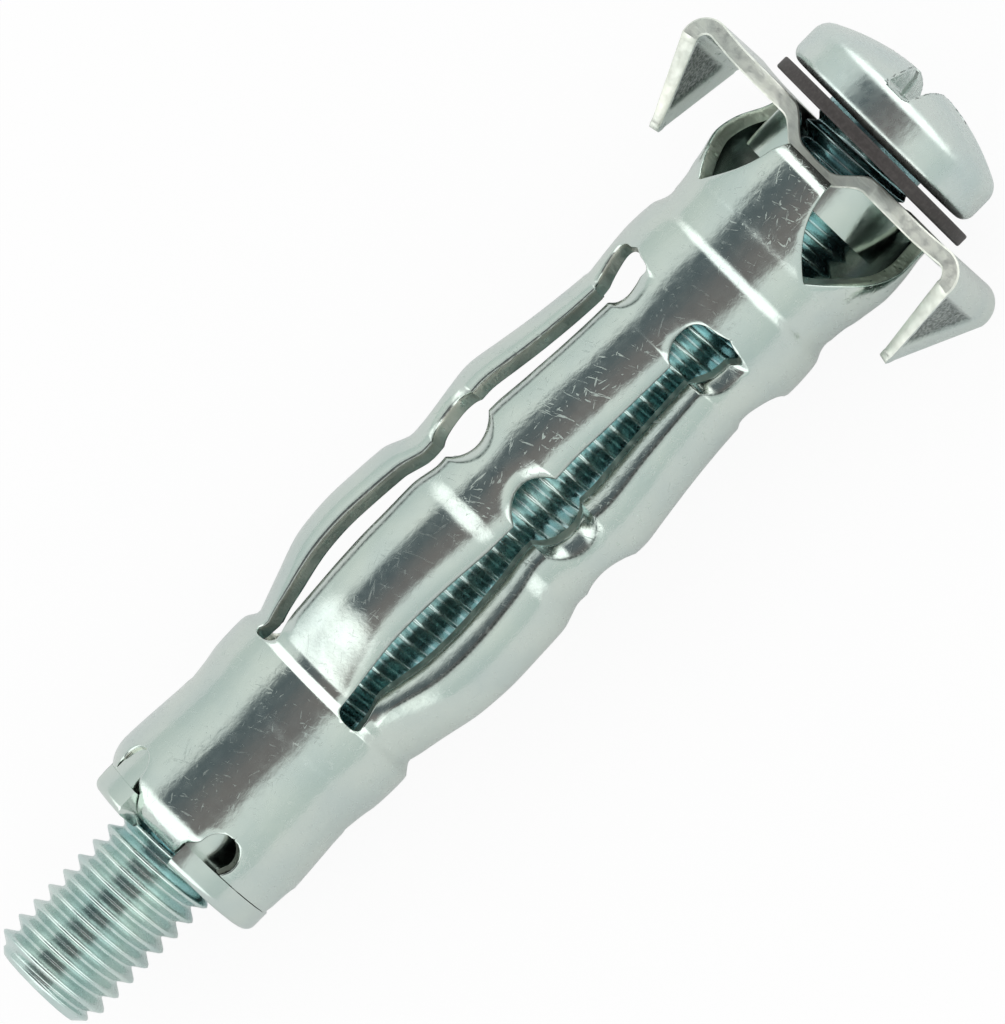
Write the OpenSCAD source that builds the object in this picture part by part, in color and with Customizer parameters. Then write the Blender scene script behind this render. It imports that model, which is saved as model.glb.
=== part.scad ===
// Hollow wall anchor with its machine screw, lying down as it comes to rest.
// Each piece is modelled upright, with the anchor's axis along Z and its tail
// end at z = 0, and laid_down() then turns the whole anchor onto its side.

/* [Sleeve] */
// Length under the claw plate, from the tail end of the nut
sleeve_len = 36.4; // [34:0.2:42]
// Outside diameter of the plain barrels
barrel_d = 8.64; // [8.5:0.02:8.9]
// Thickness of the rolled sheet
sheet_t = 0.62; // [0.5:0.02:0.68]
// Length of the plain round between the groove and the slots
plain_len = 1.6; // [1:0.1:1.8]
// Diameter over the rolled groove behind the nut
groove_d = 8.24; // [8.2:0.02:8.4]
// Diameter of the waist below the claw plate
waist_d = 8.14; // [8.0:0.02:8.4]

/* [Legs] */
// Number of legs, and of slots between them
leg_count = 5; // [4:1:5]
// Length of the barrel at the tail, up to the slots
tail_len = 8.5; // [8:0.1:10]
// Length of the barrel at the head, from the slots to the claw plate
head_len = 7.6; // [7.4:0.1:8.4]
// Distance from the tail end of the slots to the middle fold
mid_fold_at = 9.5; // [9:0.1:10]
// Diameter over the folds beside the tail barrel
tail_fold_d = 8.02; // [7.9:0.02:8.3]
// Diameter over the large hump of the legs
hump_d = 10.5; // [9.6:0.05:10.8]
// Diameter over the middle folds
mid_fold_d = 9.3; // [9:0.05:9.5]
// Diameter over the second hump of the legs
shoulder_d = 10.04; // [9.6:0.02:10.4]
// Diameter over the folds beside the head barrel
head_fold_d = 8.44; // [8.2:0.02:8.6]
// How far the middle of a leg stands above its edges on the large hump
crown = 0.58; // [0.3:0.02:0.7]

/* [Slots] */
// Width at the closed tail end
slot_end_w = 1.2; // [0.9:0.05:1.5]
// Width beside the large hump
slot_w = 2.05; // [1.7:0.05:2.3]
// Width of the neck beside the round holes
slot_neck_w = 1.65; // [1.3:0.05:1.9]
// Middle hole, along the axis
hole_len = 2.8; // [2.4:0.1:3]
// Middle hole, across
hole_w = 3.6; // [3:0.1:3.8]
// Hole at the head end of a slot, along the axis
keyhole_len = 2.3; // [2:0.1:2.6]
// Hole at the head end of a slot, across
keyhole_w = 3.2; // [2.8:0.1:3.5]

/* [Sleeve ends] */
// Diameter of the relief holes beside the nut's flange
relief_d = 1.66; // [1.3:0.05:1.8]
// Half of the tongue's angle at the claw plate
tongue_half = 17.5; // [14:0.5:20]
// Angle from the tongue to the root of each notch
notch_root = 44; // [40:1:48]
// Angle from the tongue to the far side of each notch
notch_far = 100; // [90:1:110]
// Length of the notches
notch_len = 4.0; // [3.4:0.1:4.2]
// Length of the tongue's end that is pressed in against the collar
tongue_bend_len = 1.3; // [1:0.1:1.6]

/* [Nut] */
// Diameter of the flange
flange_d = 8.4; // [8.2:0.05:8.6]
// Thickness of the flange
flange_t = 1.05; // [0.9:0.05:1.2]
// Length of the nut
nut_len = 5.2; // [4:0.1:5.2]
// Radial clearance between the screw and the nut
thread_gap = 0.05; // [0.02:0.01:0.09]
// Half of the angle of a strap folded over the nut
strap_half = 18; // [14:1:20]
// How far the folded straps lie below the flange's face
strap_sink = 0.4; // [0.3:0.05:0.45]
// Outer radius of the fold of a strap
strap_bend = 1.25; // [1.1:0.05:1.4]

/* [Claw plate] */
// Thickness of the strip
plate_t = 0.67; // [0.6:0.01:0.8]
// Width of the strip
plate_w = 6.45; // [6.2:0.05:6.8]
// Distance over the two prongs
claw_span = 14.5; // [13.8:0.1:16]
// Outer radius of the bend into a prong
claw_bend = 1.05; // [0.95:0.05:1.3]
// Length of a prong below the strip
prong_len = 4.1; // [3:0.1:4.4]
// Inward lean of a prong, in degrees
prong_lean = 12; // [6:1:14]
// Height of the rib pressed into a prong
rib_h = 0.22; // [0.1:0.02:0.3]
// Radial clearance between the screw and the drawn collar
collar_gap = 0.2; // [0.15:0.01:0.3]
// Length of the collar below the strip
collar_len = 1.8; // [1.2:0.1:2.2]
// Depth of the dip in the strip's long edges
dip = 0.9; // [0.6:0.05:1]

/* [Washer] */
// Outside diameter
washer_d = 9.68; // [9.2:0.04:10]
// Radial clearance between the screw and the washer's hole
washer_hole_gap = 0.25; // [0.15:0.01:0.35]
// Thickness
washer_t = 0.54; // [0.4:0.02:0.8]
// Gap between the strip and the washer
washer_gap = 0.36; // [0.32:0.02:0.6]
// Gap between the washer and the screw's head
head_gap = 0.2; // [0.1:0.02:0.4]

/* [Machine screw] */
// Nominal length, under the head
screw_len = 45.2; // [44:0.2:60]
// Outside diameter of the thread
thread_d = 4.9; // [4.7:0.02:4.96]
// Pitch of the thread
thread_pitch = 0.8; // [0.7:0.05:1]
// Depth of the thread
thread_depth = 0.49; // [0.3:0.01:0.5]
// Head diameter
head_d = 9.24; // [8.6:0.04:9.6]
// Head height
head_h = 3.02; // [2.6:0.02:3.4]
// Radius of the head's lower rim
rim_r = 0.75; // [0.5:0.05:0.9]
// Width of the driving slot
driver_w = 1.2; // [0.9:0.05:1.4]
// Depth of the driving slot
driver_depth = 1.2; // [0.9:0.05:1.4]
// Reach of the cross recess from the axis
cross_reach = 1.95; // [1.6:0.05:2.2]

/* [Hidden] */
$fn = 96;
zinc = "#c3cfcd";
zinc_thread = "#a9bfc0";
fibre = "#4a4543";
seat = 0.02;                 // gap between faces that seat on each other
sink = 0.01;                 // how far the legs' ends lie inside the barrels
overlap = 0.3;               // length of the legs' ends inside the barrels
leg_segments = 6;            // flat facets across a leg
thread_sides = 16;           // flat facets round a turn of the thread
notch_root_half = 2;         // half of the angle of a notch's blunt root
strap_tip_gap = 0.55;        // from the nut's bore to the folded straps' ends
shoulder_run = 3.2;          // from the middle fold to the second hump
head_fold_run = 1.9;         // from the folds beside the head barrel to the slots' ends
keyhole_run_out = 1.06;      // the keyholes run a little past the slots' ends
barrel_r = barrel_d / 2;
flange_r = flange_d / 2;
nut_body_r = groove_d / 2 - sheet_t - 3 * seat;
bore_r = thread_d / 2 + thread_gap;
strap_centre_r = barrel_r - strap_bend;
strap_inner_r = strap_bend - sheet_t;
strap_tip_r = min(bore_r + strap_tip_gap, strap_centre_r); // radius that the folded straps reach in to
leg_pitch = 360 / leg_count;
strap_legs = [for (i = [0 : 2 : leg_count - 1]) i]; // every second leg carries a strap
slot_start = tail_len;
slot_stop = sleeve_len - head_len;
mid_fold = slot_start + mid_fold_at;
shoulder_at = mid_fold + shoulder_run;
hole_at = mid_fold + 0.1 + hole_len / 2;
keyhole_at = slot_stop - keyhole_len / 2;
head_fold = slot_stop - head_fold_run;
collar_bore_r = thread_d / 2 + collar_gap;
collar_r = collar_bore_r + plate_t;
washer_z = sleeve_len + plate_t + washer_gap;
head_z = washer_z + washer_t + head_gap;
tip_z = head_z - screw_len;
wing = claw_span / 2;

// Radius over the middle of a leg, and its height above the leg's edges
leg_knots = [
    [slot_start, barrel_r],
    [slot_start + 0.9, tail_fold_d / 2],
    [slot_start + 0.4 * mid_fold_at, hump_d / 2 - 0.15],
    [slot_start + 0.57 * mid_fold_at, hump_d / 2],
    [mid_fold - 1.4, hump_d / 2 - 0.13],
    [mid_fold, mid_fold_d / 2],
    [shoulder_at, shoulder_d / 2],
    [head_fold, head_fold_d / 2],
    [slot_stop, barrel_r]
];
crown_knots = [
    [slot_start, 0],
    [slot_start + 0.4 * mid_fold_at, crown],
    [mid_fold - 1.4, crown],
    [mid_fold, crown / 2],
    [shoulder_at, crown * 0.8],
    [head_fold, crown * 0.3],
    [slot_stop, 0]
];
slot_knots = [
    [slot_start, slot_end_w],
    [slot_start + 0.38 * mid_fold_at, slot_w],
    [slot_start + 0.65 * mid_fold_at, slot_w],
    [mid_fold, slot_neck_w],
    [shoulder_at + 0.3, slot_w],
    [head_fold, slot_neck_w],
    [slot_stop, slot_neck_w]
];

// Smooth curve through knots of [place, value]
function slope(k, i) = i == 0 || i == len(k) - 1 ? 0
    : (k[i + 1][1] - k[i - 1][1]) / (k[i + 1][0] - k[i - 1][0]);
function span_of(k, z, i = 0) = i >= len(k) - 2 || z < k[i + 1][0] ? i : span_of(k, z, i + 1);
function span_value(k, i, h, t) =
    (2 * t ^ 3 - 3 * t ^ 2 + 1) * k[i][1] + (t ^ 3 - 2 * t ^ 2 + t) * h * slope(k, i)
    + (3 * t ^ 2 - 2 * t ^ 3) * k[i + 1][1] + (t ^ 3 - t ^ 2) * h * slope(k, i + 1);
function curve(k, z) =
    let (inside = max(k[0][0], min(k[len(k) - 1][0], z)), i = span_of(k, inside),
         h = k[i + 1][0] - k[i][0])
    span_value(k, i, h, (inside - k[i][0]) / h);

// Half of a slot's angle at height z: its run, or a round hole where that is wider
function round_hole(z, at, length, width) =
    let (share = 2 * abs(z - at) / length) share < 1 ? width * sqrt(1 - share ^ 2) : 0;
function slot_half(z) =
    asin(max(curve(slot_knots, z), round_hole(z, hole_at, hole_len, hole_w),
             round_hole(z, keyhole_at, keyhole_run_out * keyhole_len, keyhole_w)) / barrel_d);

// Outer radius of a leg at height z; across is -1 and 1 at its edges
function leg_r(z, across) = curve(leg_knots, z) - curve(crown_knots, z) * across ^ 2;
function cyl(r, angle, z) = [r * cos(angle), r * sin(angle), z];

// Heights of the leg's cross-sections: closer together beside the holes
leg_stations = concat(
    [slot_start - overlap, slot_start],
    [for (z = [slot_start + 0.5 : 0.75 : hole_at - hole_len / 2 - 0.4]) z],
    [for (i = [-4 : 4]) hole_at + sin(22.5 * i) * hole_len / 2],
    [for (i = [1 : 5]) hole_at + hole_len / 2
        + i * (keyhole_at - keyhole_len / 2 - hole_at - hole_len / 2) / 6],
    [for (i = [-4 : 3]) keyhole_at + sin(22.5 * i) * keyhole_len / 2],
    [slot_stop, slot_stop + overlap]
);

function leg_section(z) =
    let (half = leg_pitch / 2 - slot_half(z),
         inside = z < slot_start || z > slot_stop ? sink : 0)
    concat(
        [for (i = [0 : leg_segments]) let (across = 2 * i / leg_segments - 1)
            cyl(leg_r(z, across) - inside, across * half, z)],
        [for (i = [leg_segments : -1 : 0]) let (across = 2 * i / leg_segments - 1)
            cyl(leg_r(z, across) - sheet_t + inside, across * half, z)]);

// Closed solid through cross-sections that all have the same number of points
module loft(sections) {
    n = len(sections[0]);
    last = (len(sections) - 1) * n;
    polyhedron(
        points = [for (s = sections) each s],
        faces = concat(
            [for (i = [0 : n / 2 - 2]) [i, i + 1, n - 2 - i, n - 1 - i]],
            [for (i = [0 : n / 2 - 2]) [last + n - 1 - i, last + n - 2 - i, last + i + 1, last + i]],
            [for (j = [0 : len(sections) - 2], i = [0 : n - 1], side = [0, 1])
                let (a = j * n + i, b = j * n + (i + 1) % n)
                side == 0 ? [a, a + n, b] : [b, a + n, b + n]]));
}

// Cutter with radial walls; rows are [height, first angle, last angle]. It reaches
// out to twice the barrel's radius, so its flat outside stays clear of the sheet
module radial_cut(rows) {
    near = barrel_r - 2 * sheet_t;
    far = 2 * barrel_r;
    loft([for (row = rows) [
        cyl(far, row[1], row[0]), cyl(far, row[2], row[0]),
        cyl(near, row[2], row[0]), cyl(near, row[1], row[0])]]);
}

// Ring of sheet that follows a smooth curve through knots of [height, radius]
module sheet_ring(knots, step = 0.35) {
    low = knots[0][0];
    high = knots[len(knots) - 1][0];
    steps = ceil((high - low) / step);
    outline = [for (i = [0 : steps]) let (z = low + (high - low) * i / steps) [curve(knots, z), z]];
    rotate_extrude()
        polygon(concat(outline, [for (i = [steps : -1 : 0]) outline[i] - [sheet_t, 0]]));
}

// The plain round at the slots is a true cylinder: the rest is rolled in behind the nut
module tail_barrel() {
    plain_z = slot_start - plain_len;
    difference() {
        union() {
            sheet_ring([
                [flange_t + seat, barrel_r], [flange_t + 1.6, barrel_r - 0.05],
                [nut_len - 0.4, groove_d / 2 + 0.05], [nut_len + 0.2, groove_d / 2],
                [plain_z, barrel_r]]);
            translate([0, 0, plain_z])
                difference() {
                    cylinder(r = barrel_r, h = plain_len);
                    translate([0, 0, -1]) cylinder(r = barrel_r - sheet_t, h = plain_len + 2);
                }
        }
        for (i = [0 : leg_count - 1])
            rotate([0, 90, (i + 0.5) * leg_pitch])
                translate([-flange_t - seat - relief_d / 3, 0, barrel_r / 2])
                    cylinder(d = relief_d, h = barrel_r, $fn = 48);
    }
}

// Strap that runs on from the barrel and folds over the nut's end
module strap() {
    centre = [strap_centre_r, strap_sink + strap_bend];
    rotate([0, 0, -strap_half])
        rotate_extrude(angle = 2 * strap_half) {
            intersection() {
                translate(centre)
                    difference() {
                        circle(r = strap_bend);
                        circle(r = strap_inner_r);
                    }
                translate([centre[0], strap_sink]) square(strap_bend);
            }
            translate([strap_tip_r, strap_sink])
                square([centre[0] - strap_tip_r + seat / 2, sheet_t]);
            translate([barrel_r - sheet_t, centre[1] - seat / 2])
                square([sheet_t - 2 * seat, overlap]);
        }
}

// A notch opens from its root, where share is 0, to the claw plate, where it is 1
function notch_row(share) = [
    sleeve_len - notch_len * (1 - share),
    tongue_half + (notch_root - notch_root_half - tongue_half) * (1 - share) ^ 3,
    notch_far - (notch_far - notch_root - notch_root_half) * (1 - share) ^ 1.25
];

module head_barrel() {
    bend_z = sleeve_len - tongue_bend_len;
    swell = 0.08;
    bend_r = barrel_r + swell;
    tip_t = 0.15;
    end_z = sleeve_len - tip_t - 0.4;
    difference() {
        sheet_ring([
            [slot_stop, barrel_r], [slot_stop + 0.13 * head_len, barrel_r + swell],
            [slot_stop + 0.22 * head_len, barrel_r], [slot_stop + 0.33 * head_len, waist_d / 2],
            [slot_stop + 0.41 * head_len, waist_d / 2], [slot_stop + 0.51 * head_len, barrel_r],
            [slot_stop + 0.7 * head_len, barrel_r + 1.5 * swell], [sleeve_len - seat, barrel_r]]);
        for (side = [0, 1])
            mirror([0, side, 0])
                radial_cut(concat([for (i = [0 : 14]) notch_row((i / 14) ^ 1.4)],
                                  [notch_row(1) + [1, 0, 0]]));
        radial_cut([[bend_z, -tongue_half - 5, tongue_half + 5],
                    [sleeve_len + 1, -tongue_half - 5, tongue_half + 5]]);
    }
    rotate([0, 0, -tongue_half])
        rotate_extrude(angle = 2 * tongue_half)
            polygon([
                [bend_r - sheet_t, bend_z - seat], [bend_r, bend_z - seat],
                [barrel_r - seat, bend_z + 0.2], [collar_r + seat + sheet_t, end_z],
                [collar_r + seat, end_z - tip_t], [barrel_r - 0.1 - sheet_t, bend_z + 0.05]]);
}

module expansion_sleeve() {
    color(zinc) {
        tail_barrel();
        head_barrel();
        for (i = [0 : leg_count - 1])
            rotate([0, 0, i * leg_pitch])
                loft([for (z = leg_stations) leg_section(z)]);
        for (i = strap_legs)
            rotate([0, 0, i * leg_pitch])
                strap();
    }
}

module threaded_nut() {
    rim = 0.35;
    clear_half = strap_half + 2;
    fold_rise = strap_inner_r - sqrt(strap_inner_r ^ 2 - (nut_body_r - strap_centre_r) ^ 2);
    color(zinc_thread)
        difference() {
            union() {
                rotate_extrude()
                    union() {
                        translate([0, rim]) square([flange_r, flange_t - rim]);
                        square([flange_r - rim, rim + seat]);
                        translate([flange_r - rim, rim]) circle(r = rim);
                    }
                cylinder(r = nut_body_r, h = nut_len);
            }
            for (i = strap_legs)
                rotate([0, 0, i * leg_pitch - clear_half])
                    rotate_extrude(angle = 2 * clear_half)
                        translate([strap_tip_r - seat, -1])
                            square([flange_r, 1 + strap_sink + sheet_t + fold_rise + seat]);
            for (i = strap_legs)
                rotate([0, 0, i * leg_pitch - clear_half])
                    rotate_extrude(angle = 2 * clear_half)
                        translate([nut_body_r - seat, -1])
                            square([flange_r, 1 + strap_sink + strap_bend]);
            translate([0, 0, -1]) cylinder(r = bore_r, h = nut_len + 2);
        }
}

// Side outline of the strip with one bend and its prong, between two heights over the
// sheet's inner face
module claw_side(inner, outer) {
    centre = [wing - claw_bend, sleeve_len + plate_t - claw_bend];
    reach = 2 * claw_bend;
    tip = prong_len + sleeve_len - centre[1] + claw_bend / 2;
    translate(centre) {
        translate([-2 * centre[0], claw_bend - plate_t + inner])
            square([2 * centre[0], outer - inner]);
        intersection() {
            difference() {
                circle(r = claw_bend - plate_t + outer);
                circle(r = claw_bend - plate_t + inner);
            }
            polygon([[0, 0], [reach * cos(prong_lean), -reach * sin(prong_lean)],
                     [reach, reach], [0, reach]]);
        }
        rotate(-prong_lean)
            translate([claw_bend - plate_t + inner, -tip])
                square([outer - inner, tip]);
    }
}

// Front outline of a prong: full width at the bend, then a taper to its tip
module claw_front(inset, tip_r) {
    shoulder = sleeve_len + plate_t - claw_bend;
    tip_at = sleeve_len - prong_len + tip_r + inset;
    half = plate_w / 2 - inset;
    polygon([[-half, sleeve_len + 2], [half, sleeve_len + 2], [half, shoulder],
             [tip_r, tip_at], [-tip_r, tip_at], [-half, shoulder]]);
    translate([0, tip_at]) circle(r = tip_r);
}

module claw_band(inner, outer, inset, tip_r, top) {
    intersection() {
        translate([0, plate_w, 0])
            rotate([90, 0, 0])
                linear_extrude(2 * plate_w) claw_side(inner, outer);
        rotate([90, 0, 90])
            linear_extrude(4 * wing, center = true) claw_front(inset, tip_r);
        translate([-2 * wing, -plate_w, sleeve_len - 2 * prong_len])
            cube([4 * wing, 2 * plate_w, 2 * prong_len + top]);
    }
}

// The strip with one of its prongs. The rib is pressed outwards, so there is a pocket inside
module prong() {
    tip_r = 0.35;
    rib_inset = 1.15;
    rib_tip_r = 0.15;
    rib_top = -0.3;
    difference() {
        union() {
            claw_band(0, plate_t, 0, tip_r, claw_bend);
            claw_band(plate_t / 2, plate_t + rib_h, rib_inset, rib_tip_r, rib_top);
        }
        claw_band(-rib_h, rib_h, rib_inset, rib_tip_r, rib_top);
    }
}

module claw_plate() {
    bell = 0.35;
    dip_r = 2.3;
    flat = wing - claw_bend;
    foot = sleeve_len - collar_len;
    mouth = [collar_r + bell, sleeve_len - bell];
    color(zinc)
        difference() {
            union() {
                translate([0, 0, foot]) cylinder(r = collar_r, h = collar_len + plate_t);
                for (side = [0, 180])
                    rotate([0, 0, side]) prong();
                intersection() {
                    rotate_extrude()
                        difference() {
                            translate([collar_r - 0.1, mouth[1]])
                                square([bell + 0.1, bell + plate_t / 2]);
                            translate(mouth) circle(r = bell);
                        }
                    translate([-flat, -plate_w / 2, foot])
                        cube([2 * flat, plate_w, collar_len + plate_t]);
                }
            }
            translate([0, 0, foot - 1]) cylinder(r = collar_bore_r, h = collar_len + plate_t + 2);
            rotate_extrude()
                difference() {
                    translate([0, mouth[1]]) square([mouth[0], plate_t + bell + 1]);
                    translate(mouth) circle(r = bell + plate_t);
                }
            translate([0, plate_w, sleeve_len + plate_t - dip + dip_r])
                rotate([90, 0, 0]) cylinder(r = dip_r, h = 2 * plate_w);
        }
}

module washer() {
    color(fibre)
        translate([0, 0, washer_z])
            difference() {
                cylinder(d = washer_d, h = washer_t);
                translate([0, 0, -1]) cylinder(r = thread_d / 2 + washer_hole_gap, h = washer_t + 2);
            }
}

// Right-hand thread from z = 0 upwards, as one closed strip wound round the axis.
// Each turn has three rows of points: the root, then the crest's two edges
module thread_rod(turns) {
    crest = 0.1 * thread_pitch;
    flank = (thread_pitch - crest) / 2;
    profile = [[0, thread_d / 2 - thread_depth], [flank, thread_d / 2], [flank + crest, thread_d / 2]];
    rows = len(profile);
    last = rows * turns;
    function vertex(i, k) =
        cyl(profile[i % rows][1], 360 * k / thread_sides,
            thread_pitch * (floor(i / rows) + k / thread_sides) + profile[i % rows][0]);
    function id(i, k) = k == thread_sides ? id(i + rows, 0)
        : i <= last ? i * thread_sides + k
        : (last + 1) * thread_sides + i - last - 1;
    foot = (last + 1) * thread_sides + rows;
    top = foot + 1;
    polyhedron(
        points = concat(
            [for (i = [0 : last], k = [0 : thread_sides - 1]) vertex(i, k)],
            [for (i = [1 : rows]) vertex(last + i, 0)],
            [[0, 0, 0], [0, 0, vertex(last + rows, 0)[2]]]),
        faces = concat(
            [for (i = [0 : last - 1], k = [0 : thread_sides - 1], side = [0, 1])
                side == 0 ? [id(i, k), id(i + 1, k), id(i, k + 1)]
                          : [id(i, k + 1), id(i + 1, k), id(i + 1, k + 1)]],
            [for (k = [0 : thread_sides - 1]) [foot, id(0, k), id(0, k + 1)]],
            [for (i = [0 : rows - 1]) [foot, id(i + 1, 0), id(i, 0)]],
            [for (k = [0 : thread_sides - 1]) [top, id(last, k + 1), id(last, k)]],
            [for (i = [last : last + rows - 1]) [top, id(i, 0), id(i + 1, 0)]]));
}

module machine_screw() {
    point = 0.6;
    edge = 0.45;
    dome_r = 9;
    slot_flare = 0.3;
    cross_depth = 2.3;
    shank_sink = 0.5;
    head_r = head_d / 2;
    shoulder = head_h - (dome_r - sqrt(dome_r ^ 2 - (head_r - edge) ^ 2));
    color(zinc_thread)
        difference() {
            union() {
                translate([0, 0, tip_z])
                    intersection() {
                        translate([0, 0, -thread_pitch])
                            thread_rod(ceil(screw_len / thread_pitch) + 2);
                        rotate_extrude()
                            polygon([[0, 0], [thread_d / 2 - point, 0],
                                     [thread_d / 2 + seat, point + seat],
                                     [thread_d / 2 + seat, screw_len + shank_sink],
                                     [0, screw_len + shank_sink]]);
                    }
                translate([0, 0, head_z])
                    rotate_extrude() {
                        square([head_r - rim_r, shoulder]);
                        translate([0, rim_r]) square([head_r, shoulder - rim_r - edge]);
                        translate([head_r - rim_r, rim_r]) circle(r = rim_r);
                        translate([head_r - edge, shoulder - edge]) circle(r = edge);
                        square([head_r - edge, shoulder]);
                        intersection() {
                            translate([0, head_h - dome_r]) circle(r = dome_r);
                            translate([0, shoulder - edge]) square([head_r - edge, head_h]);
                        }
                    }
            }
            translate([0, 0, head_z + head_h - driver_depth])
                rotate([90, 0, 90])
                    linear_extrude(2 * head_d, center = true)
                        polygon([[-driver_w / 2, 0], [driver_w / 2, 0],
                                 [driver_w / 2 + slot_flare, driver_depth + seat],
                                 [-driver_w / 2 - slot_flare, driver_depth + seat]]);
            translate([0, 0, head_z + head_h + seat])
                mirror([0, 0, 1])
                    linear_extrude(cross_depth, scale = 0.5)
                        for (turn = [0, 90])
                            rotate(turn) square([2 * cross_reach, driver_w], center = true);
        }
}

// The anchor lies on two legs and on the washer, with its tongue on top
leg_reach = max([for (i = [0 : leg_count - 1], z = leg_stations, across = [-1 : 0.1 : 1])
    -leg_r(z, across) * cos(i * leg_pitch + across * (leg_pitch / 2 - slot_half(z)))]);
axis_height = max(leg_reach, washer_d / 2, head_d / 2);
middle = (tip_z + head_z + head_h) / 2;

module laid_down() {
    translate([-middle, 0, axis_height])
        rotate([0, 90, 0])
            rotate([0, 0, 180])
                children();
}

// The strip and the screw's slot lie across the tongue
laid_down() expansion_sleeve();
laid_down() threaded_nut();
laid_down() rotate([0, 0, 90]) claw_plate();
laid_down() washer();
laid_down() machine_screw();
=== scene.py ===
"""Finished look of a hollow wall anchor: zinc-plated sleeve, nut, claw plate, washer and screw.

Every piece is built upright, in millimetres, with the anchor's axis along Z, the tail end of the
nut at zero and the tongue of the sleeve towards +X. lay_down then puts it where the frame has it.
"""
import logging
import math
from dataclasses import dataclass, field
from enum import Enum
from typing import Callable, Sequence

import bmesh
import bpy
from mathutils import Matrix, Vector


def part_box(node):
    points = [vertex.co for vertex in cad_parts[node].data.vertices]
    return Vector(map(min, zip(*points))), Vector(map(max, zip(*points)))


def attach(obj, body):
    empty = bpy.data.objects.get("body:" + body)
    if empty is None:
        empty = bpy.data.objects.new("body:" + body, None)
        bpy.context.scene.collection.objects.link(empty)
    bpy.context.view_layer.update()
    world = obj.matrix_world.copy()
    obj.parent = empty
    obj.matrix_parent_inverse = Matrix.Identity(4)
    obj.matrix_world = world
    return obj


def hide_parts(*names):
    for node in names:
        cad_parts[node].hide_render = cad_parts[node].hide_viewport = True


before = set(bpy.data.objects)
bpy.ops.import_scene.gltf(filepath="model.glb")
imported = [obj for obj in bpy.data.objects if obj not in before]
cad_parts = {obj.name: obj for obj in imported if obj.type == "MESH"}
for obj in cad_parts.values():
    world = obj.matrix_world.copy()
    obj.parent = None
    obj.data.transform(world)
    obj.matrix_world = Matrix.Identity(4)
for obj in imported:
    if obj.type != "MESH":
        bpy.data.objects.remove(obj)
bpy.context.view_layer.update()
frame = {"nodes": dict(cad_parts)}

logging.basicConfig(level=logging.INFO, format="%(message)s")
log = logging.getLogger("anchor")

MM = 0.001
Knots = Sequence[tuple[float, float]]
Point = tuple[float, float, float]
Colour = tuple[float, float, float]
Socket = bpy.types.NodeSocket


# ------------------------------------------------------------------------------ small mathematics

def smooth(knots: Knots, at: float) -> float:
    """Reads a smooth curve through knots.

    Args:
        knots: Pairs of place and value, in rising order of place.
        at: Place to read the curve at; it is held to the knots' range.

    Returns:
        The curve's value, with level ends.
    """
    last = len(knots) - 1
    at = min(max(at, knots[0][0]), knots[last][0])
    i = 0
    while i < last - 1 and at >= knots[i + 1][0]:
        i += 1

    def slope(j: int) -> float:
        """Slope of the curve at knot j, level at both ends."""
        before, after = knots[max(j - 1, 0)], knots[min(j + 1, last)]
        return 0.0 if j in (0, last) else (after[1] - before[1]) / (after[0] - before[0])

    step = knots[i + 1][0] - knots[i][0]
    t = (at - knots[i][0]) / step
    return ((2 * t ** 3 - 3 * t ** 2 + 1) * knots[i][1] + (t ** 3 - 2 * t ** 2 + t) * step * slope(i)
            + (3 * t ** 2 - 2 * t ** 3) * knots[i + 1][1] + (t ** 3 - t ** 2) * step * slope(i + 1))


def ease(low: float, high: float, at: float) -> float:
    """0 below low, 1 above high and a smooth step between them."""
    t = min(max((at - low) / (high - low), 0.0), 1.0)
    return t * t * (3 - 2 * t)


def window(start: float, full: float, stop: float, end: float, at: float) -> float:
    """1 between full and stop, 0 before start and after end, with smooth steps."""
    return ease(start, full, at) * (1 - ease(stop, end, at))


def mix(a: float, b: float, share: float) -> float:
    """Value at a share of the way from a to b."""
    return a + (b - a) * share


def spread(low: float, high: float, count: int) -> list[float]:
    """Evenly spaced values from low to high, both included."""
    return [mix(low, high, i / (count - 1)) for i in range(count)]


def polar(radius: float, angle: float, z: float) -> Point:
    """Point at a radius, an angle in degrees and a height."""
    return (radius * math.cos(math.radians(angle)), radius * math.sin(math.radians(angle)), z)


def circle(radius: float, z: float, steps: int) -> list[Point]:
    """Points once round a circle about the axis."""
    return [polar(radius, 360 * i / steps, z) for i in range(steps)]


def rounded(radius: float, rim: float, angles: Sequence[float]) -> list[tuple[float, float]]:
    """Rounded lower rim of a disc, as points of radius and height at angles in degrees."""
    turns = [math.radians(angle) for angle in angles]
    return [(radius - rim * (1 - math.sin(a)), rim * (1 - math.cos(a))) for a in turns]


# ----------------------------------------------------------------------------------- the finishes

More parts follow.
